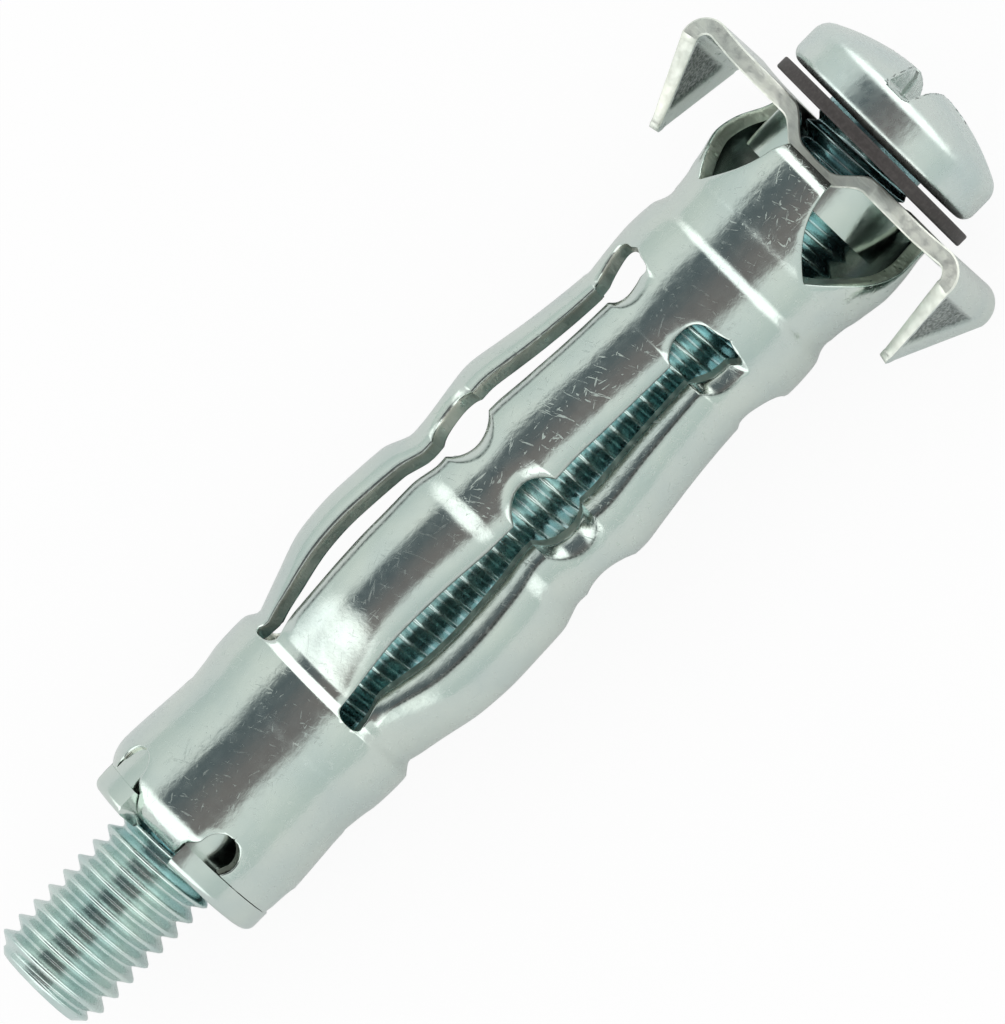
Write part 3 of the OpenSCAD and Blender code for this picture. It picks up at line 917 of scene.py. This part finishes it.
    def build(self, place: Matrix) -> None:
        """Builds and dresses the sleeve.

        Args:
            place: Matrix from the upright anchor to the frame.
        """
        sheet = Surface()
        strap_end = self.strap_sink + self.strap_bend - self.strap_bend * math.pi / 2 - 0.02
        for leg in range(self.legs):
            marks = self.stations()
            if leg in self.strap_legs:
                marks = spread(strap_end, self.end_z - 0.1, 16) + marks
            sections = [self.section(leg, along) for along in marks]
            count = len(sections[0].outer)
            sheet.grid([part.outer for part in sections],
                       mark=lambda j, i: self.look(leg, marks[j], i, count))
            sheet.grid([part.inner for part in sections], flip=True)
            sheet.cap(sections[0].ring(), slot=1)
            sheet.cap(sections[-1].ring(), flip=True, slot=1)
            for side in (0, 1):
                for first, second in zip(sections, sections[1:]):
                    if first.cut[side] or second.cut[side]:
                        sheet.grid([first.sides[side], second.sides[side]], flip=side == 0, slot=1)
        sleeve = sheet.build("folding_sleeve", place, (SHEET_ZINC.material(), EDGE_ZINC.material()),
                             weld=0.0015, sharp=38.0)
        place_piece(sleeve, "anchor_body", "expansion_sleeve")


# ---------------------------------------------------------------------------------------- the nut

@dataclass
class Nut:
    """Flanged nut in the tail of the sleeve; its flange is cut away under the folded straps."""

    flange_r: float = 4.2
    flange_t: float = 1.05
    rim: float = 0.38
    body_r: float = 3.44
    neck_r: float = 2.9
    neck_end: float = 2.8
    bore_r: float = 2.5
    chamfer: float = 0.25
    length: float = 5.2
    strap_half: float = 19.4
    ease_angle: float = 0.8
    cut_r: float = 2.95
    strap_seat: float = 0.5
    pressed_at: float = 324.0
    pressed_half: float = 12.0
    pressed_r: float = 4.12
    pressed_ease: float = 1.2
    steps: int = 720

    def outline(self) -> list[tuple[float, float]]:
        """Outline of the nut before anything is cut or pressed.

        Returns:
            Points of radius and height, once round.
        """
        return ([(self.bore_r, self.chamfer), (self.bore_r + self.chamfer, 0.0), (self.cut_r, 0.0)]
                + rounded(self.flange_r, self.rim, range(0, 91, 15))
                + [(self.flange_r, self.flange_t), (self.neck_r, self.flange_t),
                   (self.neck_r, self.neck_end), (self.body_r, self.neck_end + 0.15),
                   (self.body_r, self.length), (self.bore_r, self.length)])

    def point(self, radius: float, z: float, angle: float, straps: Sequence[float]) -> Point:
        """Places one point, with the seats of the straps and the pressed mark of the neck.

        Args:
            radius: Radius in the outline.
            z: Height in the outline.
            angle: Angle round the axis.
            straps: Angles of the folded straps, in degrees.

        Returns:
            The point on the nut.
        """
        if radius == self.neck_r:
            near = self.pressed_half - abs(angle - self.pressed_at)
            return polar(mix(self.neck_r, self.pressed_r, ease(0.0, self.pressed_ease, near)), angle, z)
        off = min(abs((angle - strap + 180) % 360 - 180) for strap in straps)
        free = ease(self.strap_half, self.strap_half + self.ease_angle, off)
        if z < self.flange_t + 0.01:
            radius = min(radius, mix(self.cut_r, 9.0, free))
        return polar(radius, angle, mix(max(z, self.strap_seat), z, free))

    def build(self, place: Matrix, straps: Sequence[float]) -> None:
        """Builds and dresses the nut.

        Args:
            place: Matrix from the upright anchor to the frame.
            straps: Angles of the folded straps, in degrees.
        """
        rows = [[self.point(radius, z, 360 * i / self.steps, straps) for i in range(self.steps)]
                for radius, z in self.outline()]
        body = Surface()
        body.grid(rows + [rows[0]], closed=True)
        nut = body.build("end_nut", place, (SHEET_ZINC.material(),), weld=0.001, sharp=38.0)
        place_piece(nut, "anchor_body", "threaded_nut")


# --------------------------------------------------------------------------------- the claw plate

@dataclass
class ClawPlate:
    """Stamped strip with a drawn collar, raised wings, and a prong bent back at each end."""

    seat_z: float = 36.4
    sheet: float = 0.67
    width: float = 6.45
    span: float = 14.8
    shift: float = 0.15
    corner_r: float = 0.07
    across: int = 31
    # Middle, with the drawn collar and the dips in the long edges
    middle_x: float = 4.6
    bore_r: float = 2.65
    mouth_r: float = 1.02
    mouth_limit: float = 0.93
    wall_limit: float = 0.98
    collar_len: float = 1.8
    dip: float = 0.88
    dip_half: float = 1.9
    dip_from: float = 0.75
    dip_side: float = 1.7
    # Wings, raised towards the head, and prongs that thin out towards their tips
    rise: float = 0.12
    rise_from: float = 4.7
    rise_power: float = 1.6
    bend_r: float = 1.05
    prong_len: float = 4.0
    lean: float = 12.0
    waist: float = 0.12
    tip_r: float = 0.33
    thin: float = 0.4
    grow: float = 0.004
    panel_depth: float = 0.10
    frame: float = 0.26
    far_frame: float = 1.3

    def plain(self, x: float, y: float) -> float:
        """Finds the strip's head-side face, before the collar's mouth is drawn into it.

        Args:
            x: Place along the strip.
            y: Place across the strip.

        Returns:
            The height of the face.
        """
        edge = ease(self.dip_side, self.width / 2, abs(y))
        share = min(1.0, max(0.0, abs(x) - self.rise_from) / (self.span / 2 - self.bend_r - self.rise_from))
        return (self.seat_z + self.sheet + self.rise * share ** self.rise_power
                - self.dip * edge * (1 - ease(self.dip_from, self.dip_half + 0.35, abs(x))))

    def top(self, x: float, y: float) -> float:
        """Finds the strip's head-side face with the rounded mouth of the collar.

        Args:
            x: Place along the strip.
            y: Place across the strip.

        Returns:
            The height of the face.
        """
        into = self.bore_r + self.mouth_r - math.hypot(x, y)
        drop = self.mouth_r - math.sqrt(max(0.0, self.mouth_r ** 2 - into ** 2)) if into > 0 else 0.0
        return self.plain(x, y) - drop

    def outline(self) -> list[tuple[float, float]]:
        """Outline of the middle of the strip.

        Returns:
            Points along and across the strip, once round.
        """
        half = self.width / 2
        ends = spread(-half, half, self.across)
        sides = spread(-self.middle_x, self.middle_x, 61)
        return ([(self.middle_x, y) for y in ends[:-1]] + [(-x, half) for x in sides[:-1]]
                + [(-self.middle_x, -y) for y in ends[:-1]] + [(x, -half) for x in sides[:-1]])

    def middle(self, strip: Surface) -> None:
        """Adds the middle of the strip with its collar, as one closed ring of sheet.

        Args:
            strip: Surface to add it to.
        """
        outline = self.outline()
        reach = [math.hypot(x, y) for x, y in outline]
        mouth, foot = self.bore_r + self.mouth_r, self.seat_z - self.collar_len
        brim = [min(mouth, self.mouth_limit * r) for r in reach]
        wall = [min(self.bore_r + self.sheet, self.wall_limit * r) for r in reach]
        inset = [r - self.corner_r for r in reach]

        def row(radii: Sequence[float], height: Callable[[float, float], float]) -> list[Point]:
            """One ring of points at given radii and heights."""
            places = [(x * r / full, y * r / full) for (x, y), r, full in zip(outline, radii, reach)]
            return [(x, y, height(x, y)) for x, y in places]

        def under(x: float, y: float) -> float:
            """Height of the strip's tail-side face."""
            return self.plain(x, y) - self.sheet

        bore = [self.bore_r + 0.001] * len(outline)
        inner = [row(bore, lambda x, y, s=s: mix(foot, self.top(x, y), s)) for s in spread(0, 1, 7)]
        for part in range(1, 13):
            share = 1 - math.cos(math.radians(90 * part / 12))
            inner.append(row([mix(self.bore_r, r, share) for r in brim], self.top))
        inner += [row([mix(r, full, share) for r, full in zip(brim, inset)], self.top)
                  for share in spread(0.12, 1.0, 10)]
        side = [inner[-1], row(reach, lambda x, y: self.top(x, y) - self.corner_r),
                row(reach, lambda x, y: under(x, y) + self.corner_r), row(inset, under)]
        outer = [side[-1]] + [row([mix(full, r, share) for r, full in zip(wall, inset)], under)
                              for share in spread(0.15, 1.0, 8)]
        outer += [row(wall, lambda x, y, s=s: mix(under(x, y), foot, s)) for s in spread(0.15, 1.0, 7)]
        outer.append(inner[0])
        for rows, slot in ((inner, 0), (side, 1), (outer, 0)):
            strip.grid(rows, closed=True, slot=slot)

    def path(self) -> list[tuple[float, float, float, float]]:
        """Follows the outer face of a wing, its bend and its prong.

        Returns:
            Points of x, z, half-width and share of the prong's length.
        """
        bend_x = self.span / 2 - self.bend_r
        slope = math.degrees(math.atan(self.rise_power * self.rise / (bend_x - self.rise_from)))
        half = self.width / 2
        last = bend_x - self.bend_r * math.sin(math.radians(slope))
        points = [(x, self.plain(x, 0.0), half, 0.0) for x in spread(self.middle_x - 0.25, last, 7)]
        centre_z = points[-1][1] - self.bend_r * math.cos(math.radians(slope))
        for angle in spread(90 + slope - 6, -self.lean, 16):
            turn = math.radians(angle)
            points.append((bend_x + self.bend_r * math.cos(turn), centre_z + self.bend_r * math.sin(turn),
                           half - self.waist * ease(90, -self.lean, angle), 0.0))
        x0, z0 = points[-1][0], points[-1][1]
        lean = math.radians(self.lean)
        length = (z0 - self.seat_z + self.prong_len) / math.cos(lean)
        for share in [s ** 0.85 for s in spread(0.03, 1.0, 36)]:
            run = length * share
            taper = mix(half - self.waist, self.tip_r, min(1.0, run / (length - self.tip_r)))
            if length - run < self.tip_r:
                taper = math.sqrt(max(0.004, self.tip_r ** 2 - (self.tip_r - length + run) ** 2))
            points.append((x0 - run * math.sin(lean), z0 - run * math.cos(lean), taper, share))
        return points

    def panel(self, y: float, half: float, share: float) -> float:
        """Finds the sunken panel of a prong, dull and darkened with painted shade.

        Args:
            y: Place across the prong.
            half: Half of the prong's width there.
            share: Share of the prong's length.

        Returns:
            1 in the panel, 0 outside it, and less than 1 on its slanting sides.
        """
        return (ease(0.0, 0.12, half - self.frame + y) * ease(0.0, 0.35, half - y - self.far_frame)
                * window(0.0, 0.06, 0.86, 0.95, share))

    def wing(self, strip: Surface, side: int) -> None:
        """Adds one wing with its bend and its prong, as a closed solid.

        Args:
            strip: Surface to add it to.
            side: 1 or -1, for the end of the strip.
        """
        path = self.path()
        outer, inner, lefts, rights, marks = [], [], [], [], []
        for i, (x, z, half, share) in enumerate(path):
            ahead, behind = path[min(i + 1, len(path) - 1)], path[max(i - 1, 0)]
            run = math.hypot(ahead[0] - behind[0], ahead[1] - behind[1])
            nx, nz = (behind[1] - ahead[1]) / run, (ahead[0] - behind[0]) / run
            c = min(self.corner_r, 0.4 * half)
            x, z, half = x + self.grow * nx, z + self.grow * nz, half + self.grow
            sheet = self.sheet * (1 - self.thin * share) + 2 * self.grow

            def point(y: float, depth: float) -> Point:
                """Point of this section at a place across it and a depth below its outer face."""
                return (side * (x - depth * nx), y, z - depth * nz)

            ys = spread(-half + c, half - c, self.across)
            sunk = [self.panel(y, half, share) for y in ys]
            outer.append([point(y, self.panel_depth * p) for y, p in zip(ys, sunk)])
            inner.append([point(y, sheet - self.panel_depth * p) for y, p in zip(ys, sunk)])
            # Painted shade in the sunken panels, and half wear all over
            marks.append([(0.95 * p, 0.5) for p in sunk])
            for rows, way, first in ((lefts, -1, ys[0]), (rights, 1, ys[-1])):
                rows.append([point(first, 0.0), point(way * half, c), point(way * half, sheet - c),
                             point(first, sheet)])
        for face in (outer, inner):
            strip.grid(face, mark=lambda j, i: marks[j][i])
        for edge in (lefts, rights):
            strip.grid(edge, slot=1)
        for end in (0, -1):
            strip.cap(outer[end] + rights[end][1:-1] + inner[end][::-1] + lefts[end][-2:0:-1], slot=1)

    def build(self, place: Matrix) -> None:
        """Builds and dresses the claw plate.

        Args:
            place: Matrix from the upright anchor to the frame.
        """
        strip = Surface()
        self.middle(strip)
        for side in (1, -1):
            self.wing(strip, side)
        turned = place @ Matrix.Rotation(math.radians(90), 4, "Z") @ Matrix.Translation((-self.shift, 0, 0))
        plate = strip.build("claw_strip", turned, (SHEET_ZINC.material(), STRIP_EDGE.material()),
                            weld=0.0015, sharp=38.0)
        place_piece(plate, "anchor_body", "claw_plate")


# ------------------------------------------------------------------------------------- the washer

@dataclass
class Washer:
    """Loose dark washer under the screw's head."""

    z: float = 37.43
    radius: float = 4.84
    hole_r: float = 2.7
    thickness: float = 0.54
    edge: float = 0.05
    soft: float = 0.03
    tilt: float = 1.0
    sag: float = 0.2
    steps: int = 180

    def build(self, place: Matrix) -> None:
        """Builds and dresses the washer.

        Args:
            place: Matrix from the upright anchor to the frame.
        """
        r, h, e, t = self.radius, self.hole_r, self.edge, self.thickness
        ring = [(h + e, 0), (r - e, 0), (r, e), (r, t - e), (r - e, t), (h + e, t), (h, t - e), (h, e),
                (h + e, 0)]
        disc = Surface()
        disc.lathe(ring, self.steps)
        centre = Matrix.Translation((0, self.sag, self.z + t / 2))
        tipped = (place @ centre @ Matrix.Rotation(math.radians(-self.tilt), 4, "Y")
                  @ Matrix.Translation((0, 0, -t / 2)))
        washer = disc.build("fibre_washer", tipped, (Fibre().material(),))
        soften(washer, self.soft, 30.0, 2)
        place_piece(washer, "washer_body", "washer")


# -------------------------------------------------------------------------------------- the screw

@dataclass
class Screw:
    """Machine screw with a rolled thread and a pan head with a slot and a cross."""

    tip_z: float = -7.03
    head_z: float = 38.17
    # Thread, with flats on its crests and roots that are slightly rounded
    major_r: float = 2.45
    minor_r: float = 1.99
    pitch: float = 0.8
    crest: float = 0.07
    root: float = 0.40
    crest_round: float = 0.03
    root_round: float = 0.035
    tip_chamfer: float = 0.62
    neck_cut: float = 0.1
    per_turn: int = 12
    columns: int = 72
    # Head and its recess
    head_r: float = 4.62
    head_h: float = 3.02
    rim_r: float = 0.5
    edge_r: float = 0.8
    dome_r: float = 9.0
    head_steps: int = 160
    soft: float = 0.07
    slot_w: float = 1.05
    slot_flare: float = 0.32
    slot_depth: float = 1.2
    slot_turn: float = 8.0
    cross_reach: float = 1.95
    cross_depth: float = 2.3

    def thread_r(self, share: float) -> float:
        """Finds the radius of the thread.

        Args:
            share: Share of the pitch, from the middle of a crest.

        Returns:
            The radius.
        """
        off = abs((share + 0.5) % 1 - 0.5)
        if off < self.crest:
            return self.major_r - self.crest_round * (off / self.crest) ** 2
        if off > self.root:
            return self.minor_r + self.root_round * ((0.5 - off) / (0.5 - self.root)) ** 2
        return mix(self.major_r - self.crest_round, self.minor_r + self.root_round,
                   (off - self.crest) / (self.root - self.crest))

    def limit_r(self, z: float, radius: float) -> float:
        """Holds a radius to the chamfer at the tip and the run-out under the head.

        Args:
            z: Height.
            radius: Radius of the thread.

        Returns:
            The radius that is left.
        """
        chamfer = self.major_r - self.tip_chamfer + max(0.0, z - self.tip_z) * 1.05
        neck = ease(self.head_z - 1.3, self.head_z - 0.5, z)
        return min(chamfer, mix(radius, self.major_r - self.neck_cut, neck))

    def shank(self) -> Surface:
        """Makes the thread.

        Returns:
            Its helical surface, with a flat tip.
        """
        surface = Surface()
        stop_z = self.head_z + 0.3
        turns = int((stop_z - self.tip_z) / self.pitch) + 2
        rows = []
        for i in range(turns * self.per_turn + 1):
            share = i / self.per_turn
            row = []
            for k in range(self.columns + 1):
                z = self.tip_z + self.pitch * (share + k / self.columns - 1)
                z = min(max(z, self.tip_z), stop_z)
                row.append(polar(self.limit_r(z, self.thread_r(share)), 360 * k / self.columns, z))
            rows.append(row)
        surface.grid(rows)
        tip_r = self.limit_r(self.tip_z, self.major_r)
        rings = [circle(tip_r * s, self.tip_z - 0.05 * (1 - s ** 2), self.columns)
                 for s in (1.0, 0.9, 0.6, 0.3)]
        surface.grid(rings, closed=True, flip=True)
        surface.cap(rings[-1])
        return surface

    def head_outline(self) -> list[tuple[float, float]]:
        """Outline of the head from its underside to the top of its dome.

        Returns:
            Points of radius and height over the underside.
        """
        inner, deep = self.head_r - self.edge_r, self.head_h - self.dome_r
        centre = deep + math.sqrt((self.dome_r - self.edge_r) ** 2 - inner ** 2)
        tangent = math.degrees(math.atan2(centre - deep, inner))
        points = [(0.02, 0.0), (self.major_r - self.neck_cut, 0.0), (self.head_r - self.rim_r, 0.0)]
        points += rounded(self.head_r, self.rim_r, range(10, 91, 10))
        points += [(self.head_r, z) for z in spread(self.rim_r + 0.15, centre - 0.1, 3)]
        for angle in spread(0, tangent, 12):
            a = math.radians(angle)
            points.append((inner + self.edge_r * math.cos(a), centre + self.edge_r * math.sin(a)))
        flat = points[-1][0]
        return points + [(flat * share, deep + math.sqrt(self.dome_r ** 2 - (flat * share) ** 2))
                         for share in spread(0.96, 0.01, 16)]

    def slot_rings(self) -> list[list[Point]]:
        """Outline of the slot's cutter at both ends, wider at the top.

        Returns:
            Two rings of points.
        """
        top, low, brim = self.head_h + 0.3, self.head_h - self.slot_depth, self.head_h - 0.35
        half, wide = self.slot_w / 2, self.slot_w / 2 + self.slot_flare
        outline = [(-half, low + 0.1), (-half + 0.12, low), (half - 0.12, low), (half, low + 0.1),
                   (half + 0.06, brim), (wide, top), (-wide, top), (-half - 0.06, brim)]
        return [[(x, y, z) for y, z in outline] for x in (-6.0, 6.0)]

    def cross_rings(self) -> list[list[Point]]:
        """Outlines of the cross's cutter at four depths, narrower below.

        Returns:
            Four rings of points.
        """
        rings = []
        for depth, reach, arm in ((-0.2, 1.0, 1.0), (0.5, 0.93, 0.92), (1.4, 0.72, 0.82),
                                  (self.cross_depth, 0.35, 0.7)):
            length, side = self.cross_reach * reach, self.slot_w * 0.46 * arm
            inner = side * 1.25
            ring = []
            for turn in (math.radians(90 * quarter) for quarter in range(4)):
                for x, y in ((length, -side), (length, side), (inner, inner)):
                    ring.append((x * math.cos(turn) - y * math.sin(turn),
                                 x * math.sin(turn) + y * math.cos(turn), self.head_h - depth))
            rings.append(ring)
        return rings

    def cutter(self, name: str, rings: Sequence[Sequence[Point]], place: Matrix) -> bpy.types.Object:
        """Makes a solid that cuts the recess.

        Args:
            name: Name of the solid.
            rings: Rings of points from one end to the other.
            place: Matrix from the head, upright on its underside, to the frame.

        Returns:
            The solid, flat shaded.
        """
        surface = Surface()
        surface.grid(rings, closed=True)
        surface.cap(rings[0])
        surface.cap(rings[-1], flip=True)
        made = surface.build(name, place, ())
        for face in made.data.polygons:
            face.use_smooth = False
        return made

    def build(self, place: Matrix) -> None:
        """Builds and dresses the screw.

        Args:
            place: Matrix from the upright anchor to the frame.
        """
        shank = self.shank().build("screw_thread", place, (THREAD_ZINC.material(),), weld=0.004)
        place_piece(shank, "screw_body", "machine_screw")

        top = (place @ Matrix.Translation((0, 0, self.head_z))
               @ Matrix.Rotation(math.radians(self.slot_turn), 4, "Z"))
        blank = Surface()
        outline = self.head_outline()
        blank.lathe(outline, self.head_steps)
        blank.cap(circle(*outline[0], self.head_steps), flip=True)
        blank.cap(circle(*outline[-1], self.head_steps))
        head = blank.build("screw_head", top, (HEAD_ZINC.material(),), weld=0.0005)
        cutters = [self.cutter("slot_cutter", self.slot_rings(), top),
                   self.cutter("cross_cutter", self.cross_rings(), top)]
        for cutter in cutters:
            cut_away(head, cutter)
        soften(head, self.soft, 32.0, 3)
        settle(head)
        for cutter in cutters:
            bpy.data.objects.remove(cutter)
        place_piece(head, "screw_body", "machine_screw")


# ------------------------------------------------------------------------------------- the studio

@dataclass
class Studio:
    """Floor, soft light and camera."""

    distance: float = 0.6
    lens: float = 557.2
    tilt: float = 2.6
    swing: float = 17.5
    image_angle: float = 45.293
    look: tuple[float, float] = (0.001087, 0.000151)
    patch_x: float = 0.58
    patch_y: float = 0.56
    warm: Colour = (0.245, 0.215, 0.215)
    cool: Colour = (0.13, 0.155, 0.17)
    side: Colour = (0.98, 1.0, 0.98)
    low_side: Colour = (0.72, 0.78, 0.76)
    end: Colour = (1.9, 1.9, 1.88)
    floor_half: float = 2.0
    floor_white: float = 0.90
    floor_glow: float = 0.92

    def camera(self, axis_height: float) -> None:
        """Places the camera above the anchor.

        Args:
            axis_height: Height of the anchor's axis over the floor, in metres.
        """
        target = Vector((*self.look, axis_height))
        swing, tilt = math.radians(self.swing), math.radians(self.tilt)
        toward = Vector((math.sin(tilt), -math.sin(swing) * math.cos(tilt),
                         math.cos(swing) * math.cos(tilt)))
        axis = Vector((1, 0, 0))
        level = (axis - toward * axis.dot(toward)).normalized()
        above = toward.cross(level)
        angle = math.radians(self.image_angle)
        right = level * math.cos(angle) - above * math.sin(angle)
        up = level * math.sin(angle) + above * math.cos(angle)
        data = bpy.data.cameras.new("camera")
        data.lens = self.lens
        data.sensor_width = 36.0
        data.sensor_fit = "AUTO"
        data.clip_end = 10.0
        data.clip_start = 0.01
        made = add_object("camera", data)
        turn = Matrix((right, up, toward)).transposed().to_4x4()
        made.matrix_world = Matrix.Translation(target + toward * self.distance) @ turn
        bpy.context.scene.camera = made

    def world(self) -> None:
        """Surroundings: white for the camera, even for matt pieces, and a dim patch overhead for metal.

        The patch is cool towards +Y and warm towards -Y. Towards both ends of the anchor the metal
        sees white, and to its sides a pale grey-green.
        """
        world = bpy.data.worlds.new("studio")
        bpy.context.scene.world = world
        graph = Graph(world)
        graph.nodes.clear()
        split = graph.add("SeparateXYZ", {"Vector": graph.add("TexCoord").outputs["Generated"]})

        def step(axis: str, low: float, high: float, both: bool = False) -> Socket:
            """Smooth step over one direction, or over both ways of it, 0 below low and 1 above high."""
            way = split.outputs[axis]
            return graph.ramp(graph.calc("ABSOLUTE", way) if both else way, low, high, shape="SMOOTHSTEP")

        patch = graph.blend(step("Y", -0.30, 0.35), self.warm, self.cool)
        sides = graph.blend(step("Z", 0.0, 0.85), self.low_side, self.side)
        sides = graph.blend(step("X", 0.42, 0.62, True), sides, self.end)
        around = graph.blend(step("Y", self.patch_y - 0.10, self.patch_y + 0.08, True), patch, sides)
        around = graph.blend(step("X", self.patch_x - 0.10, self.patch_x + 0.10, True), around, sides)
        around = graph.blend(step("Z", -0.02, 0.05), self.low_side, around)
        even = graph.add("Background", {"Color": (1, 1, 1, 1), "Strength": 1.0})
        metal = graph.add("Background", {"Color": around})
        pick = graph.add("MixShader", {
            "Fac": graph.add("LightPath").outputs["Is Glossy Ray"],
            1: even.outputs["Background"], 2: metal.outputs["Background"]})
        graph.add("OutputWorld", {"Surface": pick.outputs["Shader"]})

    def floor(self) -> None:
        """White floor that keeps the anchor's soft shadow."""
        half = self.floor_half
        mesh = bpy.data.meshes.new("floor")
        mesh.from_pydata([(-half, -half, 0), (half, -half, 0), (half, half, 0), (-half, half, 0)], [],
                         [(0, 1, 2, 3)])
        made = add_object("floor", mesh)
        paper = bpy.data.materials.new("floor_white")
        graph = Graph(paper)
        matt = graph.nodes["Principled BSDF"]
        graph.feed(matt, {"Base Color": (self.floor_white,) * 3 + (1,), "Roughness": 0.9,
                          "Specular IOR Level": 0.0})
        seen = graph.calc("MULTIPLY", graph.add("LightPath").outputs["Is Camera Ray"], self.floor_glow)
        mixed = graph.add("MixShader", {
            "Fac": seen, 1: matt.outputs["BSDF"], 2: graph.add("Emission").outputs["Emission"]})
        graph.feed(graph.nodes["Material Output"], {"Surface": mixed.outputs["Shader"]})
        mesh.materials.append(paper)

    def build(self, axis_height: float) -> None:
        """Sets up the whole studio.

        Args:
            axis_height: Height of the anchor's axis over the floor, in metres.
        """
        self.world()
        self.floor()
        self.camera(axis_height)
        bpy.context.scene.view_settings.view_transform = "Standard"


# -------------------------------------------------------------------------------------- the whole

@dataclass
class Anchor:
    """The whole anchor and the studio it lies in."""

    sleeve: Sleeve = field(default_factory=Sleeve)
    nut: Nut = field(default_factory=Nut)
    claw: ClawPlate = field(default_factory=ClawPlate)
    washer: Washer = field(default_factory=Washer)
    screw: Screw = field(default_factory=Screw)
    studio: Studio = field(default_factory=Studio)

    def build(self) -> None:
        """Builds every piece in order, then the studio."""
        place = lay_down()
        self.sleeve.build(place)
        self.nut.build(place, [360 / self.sleeve.legs * leg for leg in self.sleeve.strap_legs])
        self.claw.build(place)
        self.washer.build(place)
        self.screw.build(place)
        self.studio.build(place.translation.z)


def main() -> None:
    """Builds the scene."""
    Anchor().build()


if __name__ == "__main__":
    main()
